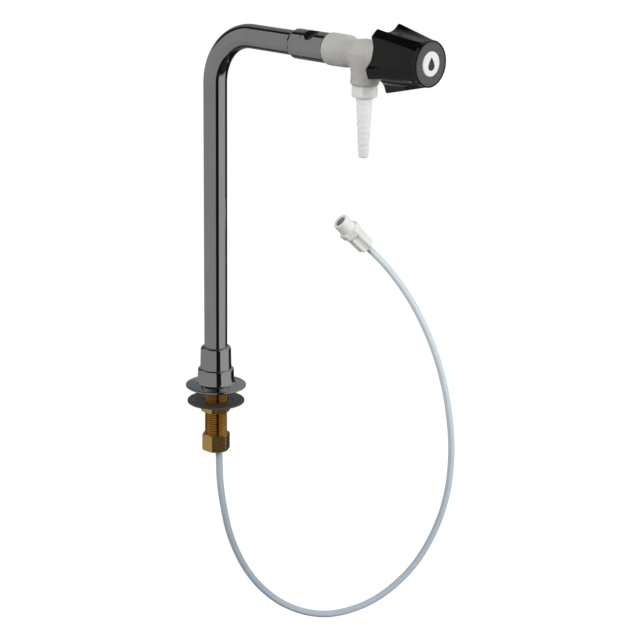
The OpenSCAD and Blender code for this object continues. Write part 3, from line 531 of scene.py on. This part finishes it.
back = Vector((
    math.sin(AZIMUTH) * math.cos(ELEVATION),
    -math.cos(AZIMUTH) * math.cos(ELEVATION),
    math.sin(ELEVATION),
))
right = Vector((math.cos(AZIMUTH), math.sin(AZIMUTH), 0))
up = back.cross(right)
tilted_right = right * math.cos(ROLL) + up * math.sin(ROLL)
tilted_up = up * math.cos(ROLL) - right * math.sin(ROLL)
camera_data = bpy.data.cameras.new("camera")
camera_data.sensor_width = SENSOR
camera_data.lens = LENS
camera_data.shift_x = SHIFT_X
camera_data.shift_y = SHIFT_Y
camera = bpy.data.objects.new("camera", camera_data)
turn = Matrix((tilted_right, tilted_up, back)).transposed().to_4x4()
camera.matrix_world = Matrix.Translation(CAMERA_AT) @ turn
bpy.context.scene.collection.objects.link(camera)
bpy.context.scene.camera = camera


# Free supply tube, along the route of its solid: places in the loop's upright plane

ROUTE = [
    (0, -42), (1.5, -56), (3, -70), (4, -96), (7.5, -122), (13, -148), (22, -173), (34.5, -196.5),
    (51, -217.5), (71, -235), (94.5, -248), (120, -255), (146.5, -254.5), (172, -248), (195.5, -235),
    (215.5, -217.5), (231, -196), (242.5, -172), (250, -146), (253, -120), (253, -93.5), (250, -67),
    (245, -40.5), (238, -15), (229, 10), (218, 34), (205, 57.5), (190, 79.5), (173, 100.5), (154, 119.5),
]
LOOP_TURN = math.radians(68)
LEAN = math.radians(46)
CONNECTOR_TURN = math.radians(41)
TUBE_INSERT = 17.0
TUBE_FREE_R = 3.175
SPAN_STEPS = 10
BEVEL_STEPS = 6


def tube_points():
    """Smooth line through the route, with the straight end that lies inside the connector."""
    route = np.array(ROUTE, float)
    before = 2 * route[0] - route[1]
    after = route[-1] + TUBE_INSERT * np.array([-math.sin(LEAN), math.cos(LEAN)])
    ends = np.vstack([before, route, after])
    points = []
    for i in range(len(route) - 1):
        a, b, c, d = ends[i:i + 4]
        for s in range(SPAN_STEPS):
            t = s / SPAN_STEPS
            points.append(0.5 * (
                2 * b + (c - a) * t + (2 * a - 5 * b + 4 * c - d) * t ** 2
                + (3 * b - a - 3 * c + d) * t ** 3))
    points += [route[-1], (route[-1] + after) / 2, after]
    out, height = np.array(points).T
    return np.stack([out * math.cos(LOOP_TURN), out * math.sin(LOOP_TURN), height], axis=1)


line = tube_points() * MM
curve = bpy.data.curves.new("milky_supply_tube", "CURVE")
curve.dimensions = "3D"
curve.bevel_depth = TUBE_FREE_R * MM
curve.bevel_resolution = BEVEL_STEPS
curve.use_fill_caps = True
spline = curve.splines.new("POLY")
spline.points.add(len(line) - 1)
for point, place in zip(spline.points, line):
    point.co = (*place, 1)
spline.use_smooth = True
curve.materials.append(milky)
supply_tube = bpy.data.objects.new("milky_supply_tube", curve)
bpy.context.scene.collection.objects.link(supply_tube)
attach(supply_tube, "base")
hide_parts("supply_tube")


# Connector on the tube's end

CONNECTOR = (
    Matrix.Rotation(LOOP_TURN, 4, "Z") @ Matrix.Translation((ROUTE[-1][0], 0, ROUTE[-1][1]))
    @ Matrix.Rotation(-LEAN, 4, "Y") @ Matrix.Rotation(CONNECTOR_TURN, 4, "Z"))


def on_connector(verts):
    m = np.array(CONNECTOR)
    return verts @ m[:3, :3].T + m[:3, 3]


def make_connector_body():
    sides = 192
    thread_r, start, thread_end = 5.8, 7.35, 20.95
    flange_flats, flange_start, flange_end = 19.05, 21.0, 27.0
    way_r, tube_hole_r, tube_stop = 2.4, 3.215, 17.05
    flange = hex_rings(
        angles(sides), flange_flats, flange_start, flange_end, low=0.6, high=0.6, corner=0.5, edge=0.2)
    male = rounded([
        (8.3, flange_end, 0), (8.2, 27.35, 0.3), (8.03, 36.7, 0.3), (7.86, 36.95, 0.15),
        (7.86, 37.35, 0.15), (8.0, 37.6, 0.3), (7.98, 38.4, 0.4), (7.2, 39.3, 0.4), (5.75, 39.3, 0.3),
        (4.9, 38.4, 0.3), (4.75, 27.3, 0.4), (way_r, flange_end, 0.2), (way_r, tube_stop, 0),
        (tube_hole_r, tube_stop, 0), (tube_hole_r, start, 0),
    ], closed=False)
    verts, faces = revolve([(thread_r, start), (thread_r, thread_end)] + flange + male, sides)
    body = add_piece("white_connector", on_connector(verts), faces, fitting_plastic, "base",
                     ["connector_body"])
    body.data.materials.append(bore_painted_shade)
    # Faces inside the connector's bore get the painted shade.
    shaded_r, shaded_start, shaded_end = 5.3, 20, 39.0
    inward = np.array(CONNECTOR.inverted())
    for face in body.data.polygons:
        x, y, z = (inward @ np.array([*(face.center / MM), 1.0]))[:3]
        face.material_index = int(math.hypot(x, y) < shaded_r and shaded_start < z < shaded_end)
    return body


def make_connector_nut():
    sides = 192
    ang = angles(sides)
    flats, length, thread_r, thread_start = 15.4, 20.6, 5.84, 3.05
    tube_hole_r, tube_hole_end, lead = 3.3, 3.0, 0.25
    hollow_at, hollow_r = 13.8, 7.0
    hollow_end, last_hollow, first_full = 18.6, 18.5, 18.75
    plain = hex_rings(ang, flats, 0.0, length, low=0.8, high=0.4, corner=0.35, edge=0.2)
    from_face = ang % (2 * HALF_SIDE) - HALF_SIDE
    inside = np.maximum(hollow_r ** 2 - (hollow_at * np.sin(from_face)) ** 2, 0)
    hollow = np.where(inside > 0, hollow_at * np.cos(from_face) - np.sqrt(inside), FAR)
    rings = []
    for i, (radius, z) in enumerate(plain):
        if z >= hollow_end:
            rings.append((radius, z))
            continue
        rings.append((np.minimum(radius, hollow), z))
        if plain[i + 1][1] >= hollow_end:
            rings += [(np.minimum(radius, hollow), last_hollow), (radius, first_full)]
    rings += [
        (thread_r, length), (thread_r, thread_start), (tube_hole_r, tube_hole_end),
        (tube_hole_r, lead), (tube_hole_r + lead, 0.0)]
    verts, faces = revolve(rings, sides)
    return add_piece("white_connector_nut", on_connector(verts), faces, fitting_plastic, "base",
                     ["connector_nut"])


connector, connector_nut = make_connector_body(), make_connector_nut()


# Chrome deck flange and collar

def make_turret():
    bore_r, seat_r, seat_top, recess_r, recess_z = 10.73, 12.77, 24.0, 14.97, 1.0
    groove_r, groove_half, groove_middles = 12.13, 0.875, (32.5, 28.0)
    step_r, step_z, step_round, step_share = 14.53, 16.16, 2.24, 0.96
    top_r, top_z, top_round, top_end = 11.33, 36.3, 2.8, 39.1
    grooves = []
    for z in groove_middles:
        grooves += [(bore_r, z + groove_half), (groove_r, z + groove_half),
                    (groove_r, z - groove_half), (bore_r, z - groove_half)]
    step = [(step_r + step_round * math.cos(a), step_z + step_round * math.sin(a))
            for a in np.linspace(0, QUARTER * step_share, 12)]
    top = [(top_r + top_round * math.cos(a), top_z + top_round * math.sin(a))
           for a in np.linspace(0, QUARTER, 14)]
    corners = [
        (recess_r, 0, 0.1), (27.1, 0, 0.3), (28.12, 0.8, 0.3), (28.17, 1.75, 0.3), (27.5, 2.2, 0.5),
        (18.5, 4.5, 0.35), (17.6, 6.0, 1.2), (16.95, 9.5, 3.0),
        *step, (step_r, 18.42, 0.25), *top, (bore_r, top_end, 0.12), *grooves,
        (bore_r, seat_top), (seat_r, seat_top), (seat_r, recess_z), (recess_r, recess_z),
    ]
    verts, faces = revolve(rounded(corners, 8), 256)
    add_piece("chrome_turret", verts, faces, chrome, "base", ["turret"], sharp=40)


# Chrome post, bend and arm

def make_gooseneck():
    sides = 160
    ang = angles(sides)
    bend_z = ARM_Z - BEND_R
    rise = bend_z - POST_BOTTOM
    bend_len = BEND_R * math.pi / 2
    full = rise + bend_len + ARM_END - BEND_R
    flatten = 0.03  # of the radius, in the middle of the bend
    low_edge, arm_edge = 0.5, 0.4
    groove_bottom, groove_top, groove_depth = 22.35, 23.65, 0.7

    def ring(s, radius):
        oval = 0.0
        if s <= rise:
            centre, out = np.array([0, 0, POST_BOTTOM + s]), np.array([-1.0, 0, 0])
        elif s <= rise + bend_len:
            a = (s - rise) / BEND_R
            out = np.array([-math.cos(a), 0, math.sin(a)])
            centre = np.array([BEND_R, 0, bend_z]) + BEND_R * out
            oval = flatten * math.sin(2 * a) ** 2
        else:
            centre, out = np.array([BEND_R + s - rise - bend_len, 0, ARM_Z]), np.array([0, 0, 1.0])
        side = np.array([0, 1.0, 0])
        return (
            centre + np.outer(np.cos(ang) * radius * (1 - oval), out)
            + np.outer(np.sin(ang) * radius * (1 + oval / 3), side))

    groove_low, groove_high = groove_bottom - POST_BOTTOM, groove_top - POST_BOTTOM
    groove_r = TUBE_R - groove_depth
    stations = [(0, TUBE_R - low_edge), (low_edge, TUBE_R)]
    stations += [(groove_low, TUBE_R), (groove_low, groove_r), (groove_high, groove_r)]
    stations += [(s, TUBE_R) for s in np.linspace(groove_high, rise, 16)]
    stations += [(s, TUBE_R) for s in np.linspace(rise, rise + bend_len, 73)[1:]]
    stations += [(s, TUBE_R) for s in np.linspace(rise + bend_len, full - arm_edge, 6)[1:]]
    stations += [(full, TUBE_R - arm_edge), (full, TUBE_BORE_R)]
    stations += [(s, TUBE_BORE_R) for s in np.linspace(rise + bend_len, rise, 25)]
    stations += [(0, TUBE_BORE_R)]
    verts = np.concatenate([ring(s, r) for s, r in stations])
    faces = ring_faces(len(stations), sides)
    add_piece("chrome_gooseneck", verts, faces, chrome, "spout", ["gooseneck_tube"], sharp=40)


# Chrome end fitting with two wrench flats

def make_adapter():
    sides = 288
    radius, rear, shoulder = 12.87, 0.0, INLET_X - ADAPTER_X
    flat_middle, flat_half, flat_depth, run_out = 23.7, 1.6, 2.5, 5.2
    seam_z, seam_depth, seam_half = 15.2, 0.22, 0.35
    flat_at = math.radians(24)
    spigot_r, spigot_z = 9.5, SPIGOT_END - ADAPTER_X
    way_r, socket_r, socket_z = 4.175, 10.71, 13.5
    mouth_r, taper_in, taper_len, edge = 10.9, 1.7, 3.5, 0.2
    least_facing = 1e-3
    facing = np.maximum(np.abs(np.cos(angles(sides) - flat_at)), least_facing)

    def outer(z):
        past = max(0.0, abs(z - flat_middle) - flat_half)
        seam = seam_depth * max(0.0, 1 - abs(z - seam_z) / seam_half)
        return np.minimum(radius, (radius - flat_depth + flat_depth * past / run_out) / facing) - seam

    rings = rounded([
        (mouth_r, rear, 0), (radius - taper_in, rear, 0.2), (radius, rear + taper_len, 0.8), (radius, 6.0, 0),
    ], closed=False)
    before, cut = np.linspace(7, 14, 5), np.linspace(14.5, 32.5, 121)
    after = np.linspace(33.5, shoulder - edge, 6)
    rings += [(outer(z), z) for z in np.concatenate([before, cut, after])]
    rings += [
        (radius - edge, shoulder), (spigot_r, shoulder), (spigot_r, spigot_z), (way_r, spigot_z),
        (way_r, socket_z), (socket_r, socket_z), (socket_r, edge)]
    verts, faces = revolve(rings, sides)
    piece = add_piece("chrome_adapter", on_arm(verts, ADAPTER_X), faces, chrome, "spout",
                      ["spout_adapter"], sharp=38)
    piece.data.materials.append(painted_dark_flat)
    # Faces on the wrench flats get the painted dark reflection.
    least_r, most_r = 10, radius - 0.06
    for face in piece.data.polygons:
        x, y, z = face.center / MM
        off_axis = math.hypot(y, z - ARM_Z)
        on_flat = abs(x - ADAPTER_X - flat_middle) < flat_half + run_out and least_r < off_axis < most_r
        face.material_index = int(on_flat)


# Brass shank with its thread

def make_shank():
    sides = 144
    ang = angles(sides)
    root = SHANK_R - THREAD_DEPTH
    bore_r, head_r, head_top, head_bottom = 7.0, 12.73, 10.0, 1.0
    top, bottom, end, outer_edge, bore_edge = 0.9, -53.4, -54.0, 0.5, 0.4
    rings_per_turn, root_share, flank_share, run_out = 11, 0.06, 0.76, 1.4
    rings = [(bore_r, head_top), (head_r, head_top), (head_r, head_bottom), (root, head_bottom)]
    for z in np.linspace(top, bottom, int((top - bottom) / (PITCH / rings_per_turn))):
        phase = (z / PITCH - ang / TURN) % 1.0
        height = np.clip((1 - np.abs(2 * phase - 1) - root_share) / flank_share, 0, 1)
        fade = min(1.0, (z - bottom) / run_out)
        rings.append((root + THREAD_DEPTH * height * fade, z))
    rings += [(root - outer_edge, end), (bore_r + bore_edge, end), (bore_r, end + bore_edge)]
    verts, faces = revolve(rings, sides)
    add_piece("brass_shank", verts, faces, threaded_brass_root_shade, "base", ["shank"], sharp=50)


# Brass nuts and steel washer on the shank

def make_brass_nut(name, body, node, flats, bottom, top, high, bore):
    """Makes a hex nut, whose bore is a list of rings from its top to its bottom."""
    sides = 192
    rings = hex_rings(angles(sides), flats, bottom, top, low=1.1, high=high, corner=0.25, edge=0.1)
    verts, faces = revolve(rings + bore, sides)
    add_piece(name, verts, faces, brass, body, [node])


def make_brass_nuts():
    bottom, top, thread_r, lead_r = -23.8, -14.9, 10.51, 11.3
    bore = [(lead_r, top), (thread_r, -15.6), (thread_r, -23.1), (lead_r, bottom)]
    make_brass_nut("brass_locknut", "clamp_nut", "locknut", 24.82, bottom, top, 0.4, bore)
    bottom, top, thread_r, lead_r = -62.4, -46.1, 10.49, 11.1
    way_r, way_lead_r, stop = 6.6, 7.1, -54.05
    bore = [(lead_r, top), (thread_r, -46.7), (thread_r, stop),
            (way_r, stop), (way_r, -61.9), (way_lead_r, bottom)]
    make_brass_nut("brass_coupling_nut", "base", "coupling_nut", 23.18, bottom, top, 1.8, bore)


def make_washer():
    hole_r, outer_r, bottom, top = 11.65, 26.6, -14.85, -13.3
    corners = [(hole_r, bottom, 0.2), (outer_r, bottom, 0.35), (outer_r, top, 0.3), (hole_r, top, 0.25)]
    verts, faces = revolve(rounded(corners), 192)
    add_piece("steel_washer", verts, faces, dark_steel, "clamp_washer", ["deck_washer"])


# White valve body: smooth union of socket, neck, dome and boss, with its passages cut out

def make_valve_body():
    step = 0.5
    low = np.array([INLET_X - 1.3, -15.2, 304.9])
    high = np.array([NECK_END + 1.2, 15.2, 346.8])
    socket_r, socket_taper, mouth_round = 13.94, 0.0145, 2.6
    neck_r, shoulder_at, shoulder_len = 11.24, 19.7, 7.4
    end_len, end_depth = 1.0, 0.6
    dome_r, boss_r, boss_bottom = 12.35, 11.9, 306.2
    rim_depth, rim_top, rim_len = 0.3, 4.4, 0.6
    chamfer_len, chamfer_slope = 1.3, 0.95
    dome_blend, boss_blend = 3.0, 6.5

    counts = np.ceil((high - low) / step).astype(int) + 1
    axes = [low[d] + step * np.arange(counts[d]) for d in range(3)]
    x, y, z = np.meshgrid(*axes, indexing="ij")
    about_arm = np.sqrt(y * y + (z - ARM_Z) ** 2)
    about_outlet = np.sqrt((x - REACH) ** 2 + y * y)
    depth = x - INLET_X
    up_boss = z - boss_bottom

    corner = np.clip(mouth_round - depth, 0, mouth_round)
    mouth = mouth_round - np.sqrt(np.maximum(mouth_round ** 2 - corner ** 2, 0))
    socket = socket_r - socket_taper * depth - mouth
    slope = np.clip((depth - shoulder_at) / shoulder_len, 0, 1)
    barrel_r = socket + (neck_r - socket) * slope * slope * (3 - 2 * slope)
    barrel = np.maximum(about_arm - barrel_r, -depth)
    end_round = np.clip(x - NECK_END + end_len, 0, end_len)
    barrel = np.maximum(barrel + end_depth * end_round ** 2, x - NECK_END)
    dome = np.sqrt((x - REACH) ** 2 + about_arm ** 2) - dome_r
    rim = rim_depth * np.clip((rim_top - up_boss) / rim_len, 0, 1)
    chamfer = np.clip(chamfer_len - up_boss, 0, chamfer_len) * chamfer_slope
    boss = np.maximum(about_outlet - (boss_r + rim - chamfer), -up_boss)
    boss = np.maximum(boss, z - ARM_Z)
    body = soft_union(soft_union(barrel, dome, dome_blend), boss, boss_blend)
    body = np.maximum(body, np.maximum(-depth, np.maximum(x - NECK_END, -up_boss)))

    def cut(solid, radius, distance, start, end, position):
        hole = np.maximum(distance - radius, np.maximum(start - position, position - end))
        return np.maximum(solid, -hole)

    # Radius, start and end of the holes for spigot, ferrule and liner and of the way to the seat
    for radius, start, end in (
            (9.54, 120, 151.9), (5.455, 140, 156.2), (3.215, 140, 161.15), (2.4, 140, 175.0)):
        body = cut(body, radius, about_arm, start, end, x)
    chamber_r, chamber_start, open_end = 8.2, 169.0, 210
    seat_r, seat_end = 4.2, 172.0
    bonnet_r, bonnet_start = 9.24, 186.0
    outlet_r, nozzle_r, nozzle_end, below = 3.2, 7.64, 318.2, 300
    seat = np.where(x < seat_end, seat_r, 0.0)
    chamber = np.maximum(about_arm - chamber_r, np.maximum(chamber_start - x, x - open_end))
    body = np.maximum(body, -np.maximum(chamber, seat - about_arm))
    body = cut(body, bonnet_r, about_arm, bonnet_start, open_end, x)
    body = cut(body, outlet_r, about_outlet, below, ARM_Z, z)
    body = cut(body, nozzle_r, about_outlet, below, nozzle_end, z)
    verts, faces = surface_net(body, low, step)
    add_piece("white_valve_body", verts, faces, valve_plastic, "spout",
              ["valve_body"], sharp=60)


# White serrated nozzle with hex collar

def make_nozzle():
    sides = 192
    count, pitch, ramp = 9, 5.0, 1.0
    top_r, end_r, notch = 7.2, 5.0, 0.8
    first_z, tip_z, bottom = 294.8, 249.8, 244.6
    bore_r, lip_r, lip_round, tip_r = 2.2, 2.4, 1.9, 4.3
    neck_r, collar_z, collar_top, collar_flats = 7.4, 296.2, 305.4, 20.0
    spigot_r, spigot_end = 7.6, 317.2
    corners = [(bore_r, bottom + 0.2, 0)]
    corners += [(lip_r + lip_round * math.sin(a), bottom + lip_round * (1 - math.cos(a)), 0)
                for a in np.linspace(0, QUARTER, 9)]
    corners += [(tip_r, tip_z, 0.3)]
    for i in reversed(range(count)):
        edge = top_r - i * (top_r - end_r) / (count - 1)
        z = first_z - i * pitch
        corners += [(edge, z - ramp, 0.6), (edge - notch, z, 0.4)]
    corners += [(neck_r, first_z + 0.1, 0.3), (neck_r, collar_z, 0)]
    rings = rounded(corners, closed=False)
    rings += hex_rings(
        angles(sides), collar_flats, collar_z, collar_top, low=1.5, high=0.4, corner=0.6, edge=0.25)
    rings += [(spigot_r, collar_top), (spigot_r, 317.0), (7.2, spigot_end), (bore_r, spigot_end)]
    verts, faces = revolve(rings, sides)
    verts[:, 0] += REACH
    add_piece("white_nozzle", verts, faces, nozzle_plastic, "spout",
              ["hose_nozzle"], sharp=50)


# Black hand knob

def make_knob():
    sides = 360
    ang = angles(sides)
    depth, rim_z = 46.1, 42.1
    rear_r, front_r, rear_floor, front_floor = 29.6, 19.4, 21.3, 18.5
    lobes, half_floor, side_r, lobe_blend = 5, 1.6, 15.6, 2.4
    first = math.radians(148)
    share = TURN / lobes
    off = np.abs((ang - first) % share - share / 2)
    off_cos, off_sin = np.cos(off), np.sin(off)

    def outline(z):
        """Radius of the cone, less the hollows between its lobes: a flat floor with round sides."""
        t = min(max(z / rim_z, 0.0), 1.0)
        cone = rear_r + (front_r - rear_r) * t
        floor_r = rear_floor + (front_floor - rear_floor) * t
        flat = floor_r / off_cos
        b = (floor_r + side_r) * off_cos + half_floor * off_sin
        c = (floor_r + side_r) ** 2 + half_floor ** 2 - side_r ** 2
        inside = b * b - c
        flank = np.where(inside > 0, b - np.sqrt(np.maximum(inside, 0)), FAR)
        hollow = np.where(flat * off_sin <= half_floor, flat, flank)
        return soft_union(np.full_like(ang, cone), hollow, lobe_blend)

    stem_half, stem_start, stem_end = 2.84, 20.0, 35.0
    screw_r, face_r, face_z = 5.2, 18.14, 44.5
    band_r, rear_edge, front_edge = 19.2, 1.7, 1.0
    hollow_r, hollow_edge = 17.0, 0.4
    rim_edge, rim_least_r, band_start_r = 0.25, 18.95, 19.15
    square = stem_half / np.maximum(np.abs(np.cos(ang)), np.abs(np.sin(ang)))
    rings = [(outline(rear_edge) - rear_edge * (1 - math.sin(a)), rear_edge * (1 - math.cos(a)))
             for a in np.linspace(0, QUARTER, 8)]
    rings += [(outline(z), z) for z in np.linspace(rear_edge + 0.5, rim_z - 0.8, 60)]
    rings += [(np.maximum(outline(rim_z) - rim_edge, rim_least_r), rim_z - rim_edge),
              (band_start_r, rim_z + 0.35)]
    rings += [(band_r - front_edge * (1 - math.cos(a)), depth - front_edge + front_edge * math.sin(a))
              for a in np.linspace(0, QUARTER, 7)]
    rings += [
        (18.3, depth), (face_r, depth - 0.15), (face_r, face_z), (screw_r, face_z),
        (screw_r, stem_end), (square, stem_end), (square, stem_start)]
    rings += [(hollow_r - hollow_edge, stem_start), (hollow_r, stem_start - hollow_edge),
              (hollow_r, hollow_edge), (hollow_r + hollow_edge, 0.0)]
    verts, faces = revolve(rings, sides)
    add_piece("black_knob", on_arm(verts, KNOB_X), faces, black_plastic, "handle",
              ["knob"], sharp=50)


# Ring, disc and water drop on the knob's face

def make_face():
    sides = 192
    seat_x, ring_side_x, ring_x = 248.5, 249.3, 249.45
    ring_hole_r, ring_r = 10.24, 18.1
    ring = rounded([
        (ring_hole_r, seat_x, 0), (ring_r, seat_x, 0), (ring_r, ring_side_x, 0.2), (17.7, ring_x, 0.2),
        (10.6, ring_x, 0.2), (ring_hole_r, ring_side_x, 0.1),
    ], 3)
    verts, faces = revolve(ring, sides)
    add_piece("grey_index_ring", on_arm(verts), faces, grey_plastic, "handle",
              ["index_ring"])
    axis_r, plug_r, plug_x, disc_r = 0.01, 5.16, 242.6, 10.2
    disc = rounded([
        (axis_r, plug_x, 0), (plug_r, plug_x, 0.3), (plug_r, seat_x, 0), (disc_r, seat_x, 0),
        (disc_r, 250.0, 0.2), (9.7, 250.33, 0.4), (axis_r, 250.36, 0),
    ])
    verts, faces = revolve(disc, sides)
    add_piece("white_index_button", on_arm(verts), faces, disc_white, "handle",
              ["index_button"])
    steps, drop_x, drop_depth = 96, 250.2, 0.195
    height, width, sharpness, lift = 5.6, 5.3, 1.35, 0.3
    t = np.linspace(0, TURN, steps, endpoint=False)
    across = width * np.sin(t) * np.abs(np.sin(t / 2)) ** sharpness
    upward = height * np.cos(t) + lift
    low = np.stack([np.full(steps, drop_x), across, ARM_Z + upward], axis=1)
    high = low + np.array([drop_depth, 0, 0])
    faces = [[i, (i + 1) % steps, steps + (i + 1) % steps, steps + i] for i in range(steps)]
    faces += [list(range(steps)), [steps + i for i in range(steps)]]
    add_piece("drop_mark", np.concatenate([low, high]), faces, mark_ink, "handle", ())


make_turret()
make_gooseneck()
make_adapter()
make_shank()
make_brass_nuts()
make_washer()
make_valve_body()
make_nozzle()
make_knob()
make_face()


# Pale floor: white to the camera, with the part's faint shadow, and dull for the light that it throws back

FLOOR_Z = cad_box[0][2] - 0.001
FLOOR_HALF = 12.0
PAPER_SEEN, PAPER_BOUNCING = grey(0.92), grey(0.25)
GLOW, GLOW_SHARE = 1.075, 0.88

floor_corners = [
    (x * FLOOR_HALF, y * FLOOR_HALF, FLOOR_Z) for x, y in ((-1, -1), (1, -1), (1, 1), (-1, 1))]
floor_mesh = bpy.data.meshes.new("floor")
floor_mesh.from_pydata(floor_corners, [], [(0, 1, 2, 3)])
floor = bpy.data.objects.new("floor", floor_mesh)
bpy.context.scene.collection.objects.link(floor)
floor.visible_glossy = False


def make_paper():
    paper = bpy.data.materials.new("paper")
    paper.use_nodes = True
    # The glow is for the camera alone, so it isn't searched for light
    paper.cycles.emission_sampling = "NONE"
    tree, shader = paper.node_tree, shader_of(paper)
    shader.inputs["Roughness"].default_value = 0.9
    shader.inputs["Specular IOR Level"].default_value = 0.0
    glow = tree.nodes.new("ShaderNodeEmission")
    glow.inputs["Strength"].default_value = GLOW
    seen = tree.nodes.new("ShaderNodeLightPath").outputs["Is Camera Ray"]
    pale = ramp_node(tree, seen, [(0.0, PAPER_BOUNCING), (1.0, PAPER_SEEN)])
    tree.links.new(pale, shader.inputs["Base Color"])
    share = math_node(tree, "MULTIPLY", seen, GLOW_SHARE)
    mixed = tree.nodes.new("ShaderNodeMixShader")
    tree.links.new(share, mixed.inputs["Fac"])
    tree.links.new(shader.outputs["BSDF"], mixed.inputs[1])
    tree.links.new(glow.outputs["Emission"], mixed.inputs[2])
    tree.links.new(mixed.outputs["Shader"], tree.nodes["Material Output"].inputs["Surface"])
    return paper


floor_mesh.materials.append(make_paper())


# Surroundings: white to the camera, a plain sky for the light, and grey panels for the metal to mirror

WHITE = (1.0, 1.0, 1.0)


def make_world():
    world = bpy.data.worlds.new("studio")
    bpy.context.scene.world = world
    world.use_nodes = True
    tree = world.node_tree
    place = split_coords(tree, "Generated")
    heading = math_node(tree, "ARCTAN2", place["Y"], place["X"])
    turn_share = math_node(tree, "ADD", math_node(tree, "DIVIDE", heading, TURN), 0.5)
    height = math_node(tree, "ARCSINE", place["Z"])
    height_share = math_node(tree, "ADD", math_node(tree, "DIVIDE", height, math.pi), 0.5)

    def panels(*stops):
        """Colours by bearing, in degrees about the post from the arm's direction."""
        return ramp_node(tree, turn_share, [((degrees + 180) / 360, colour) for degrees, colour in stops])

    def band(start, end):
        """Goes from 0 to 1 between two heights, in degrees above the horizon."""
        return ease_node(tree, height_share, (start + 90) / 180, (end + 90) / 180)

    soft, light, dark, cool = grey(0.325), grey(0.475), grey(0.01), grey(0.23, 0.07)
    ground = panels(
        (-180, grey(0.1)), (-174, grey(0.28)), (-42, grey(0.32)), (-39, dark), (66, grey(0.03)),
        (72, dark), (128, dark), (138, grey(0.1, 0.1)))
    low = panels(
        (-180, grey(0.29)), (-170, soft), (-42, soft), (-39, dark), (-13, dark), (-9, light), (62, light),
        (70, dark), (102, dark), (108, grey(0.14)), (128, grey(0.14)), (138, grey(0.28)))
    high = panels(
        (-180, dark), (-173, dark), (-167, soft), (-42, soft), (-39, dark), (-13, dark), (-9, light),
        (62, light), (76, grey(0.34)), (122, grey(0.3)), (136, cool), (146, grey(0.2, 0.07)),
        (162, grey(0.17, 0.07)), (169, dark))
    above = panels(
        (-180, dark), (-16, dark), (0, soft), (62, soft), (90, grey(0.3)), (124, cool), (140, dark))

    around = mix_node(tree, band(2, 10), low, high)
    around = mix_node(tree, band(-36, -26), ground, around)
    around = mix_node(tree, band(49, 55), around, above)
    mirrored = mix_node(tree, band(60, 68), around, grey(0.03))
    path = tree.nodes.new("ShaderNodeLightPath").outputs
    ambient = mix_node(tree, band(-35, 25), grey(0.1), grey(0.58))
    lit = mix_node(tree, path["Is Glossy Ray"], ambient, mirrored)
    seen = math_node(tree, "MAXIMUM", path["Is Camera Ray"], path["Is Transmission Ray"])
    background = tree.nodes["Background"]
    tree.links.new(mix_node(tree, seen, lit, WHITE), background.inputs["Color"])
    background.inputs["Strength"].default_value = 1.0


# Soft lamps, which the metal doesn't mirror

LAMP_TARGET = Vector((0.1, 0.0, 0.1))


def add_lamp(name, at, size, power):
    data = bpy.data.lights.new(name, "AREA")
    data.shape = "DISK"
    data.size = size
    data.energy = power
    lamp = bpy.data.objects.new(name, data)
    lamp.location = at
    lamp.rotation_euler = (LAMP_TARGET - Vector(at)).to_track_quat("-Z", "Y").to_euler()
    lamp.visible_glossy = False
    bpy.context.scene.collection.objects.link(lamp)


make_world()
add_lamp("key", (1.7, 0.95, 0.8), size=1.0, power=25)
add_lamp("side", (0.3, -1.8, 0.85), size=1.1, power=20)

bpy.context.scene.view_settings.view_transform = "Standard"
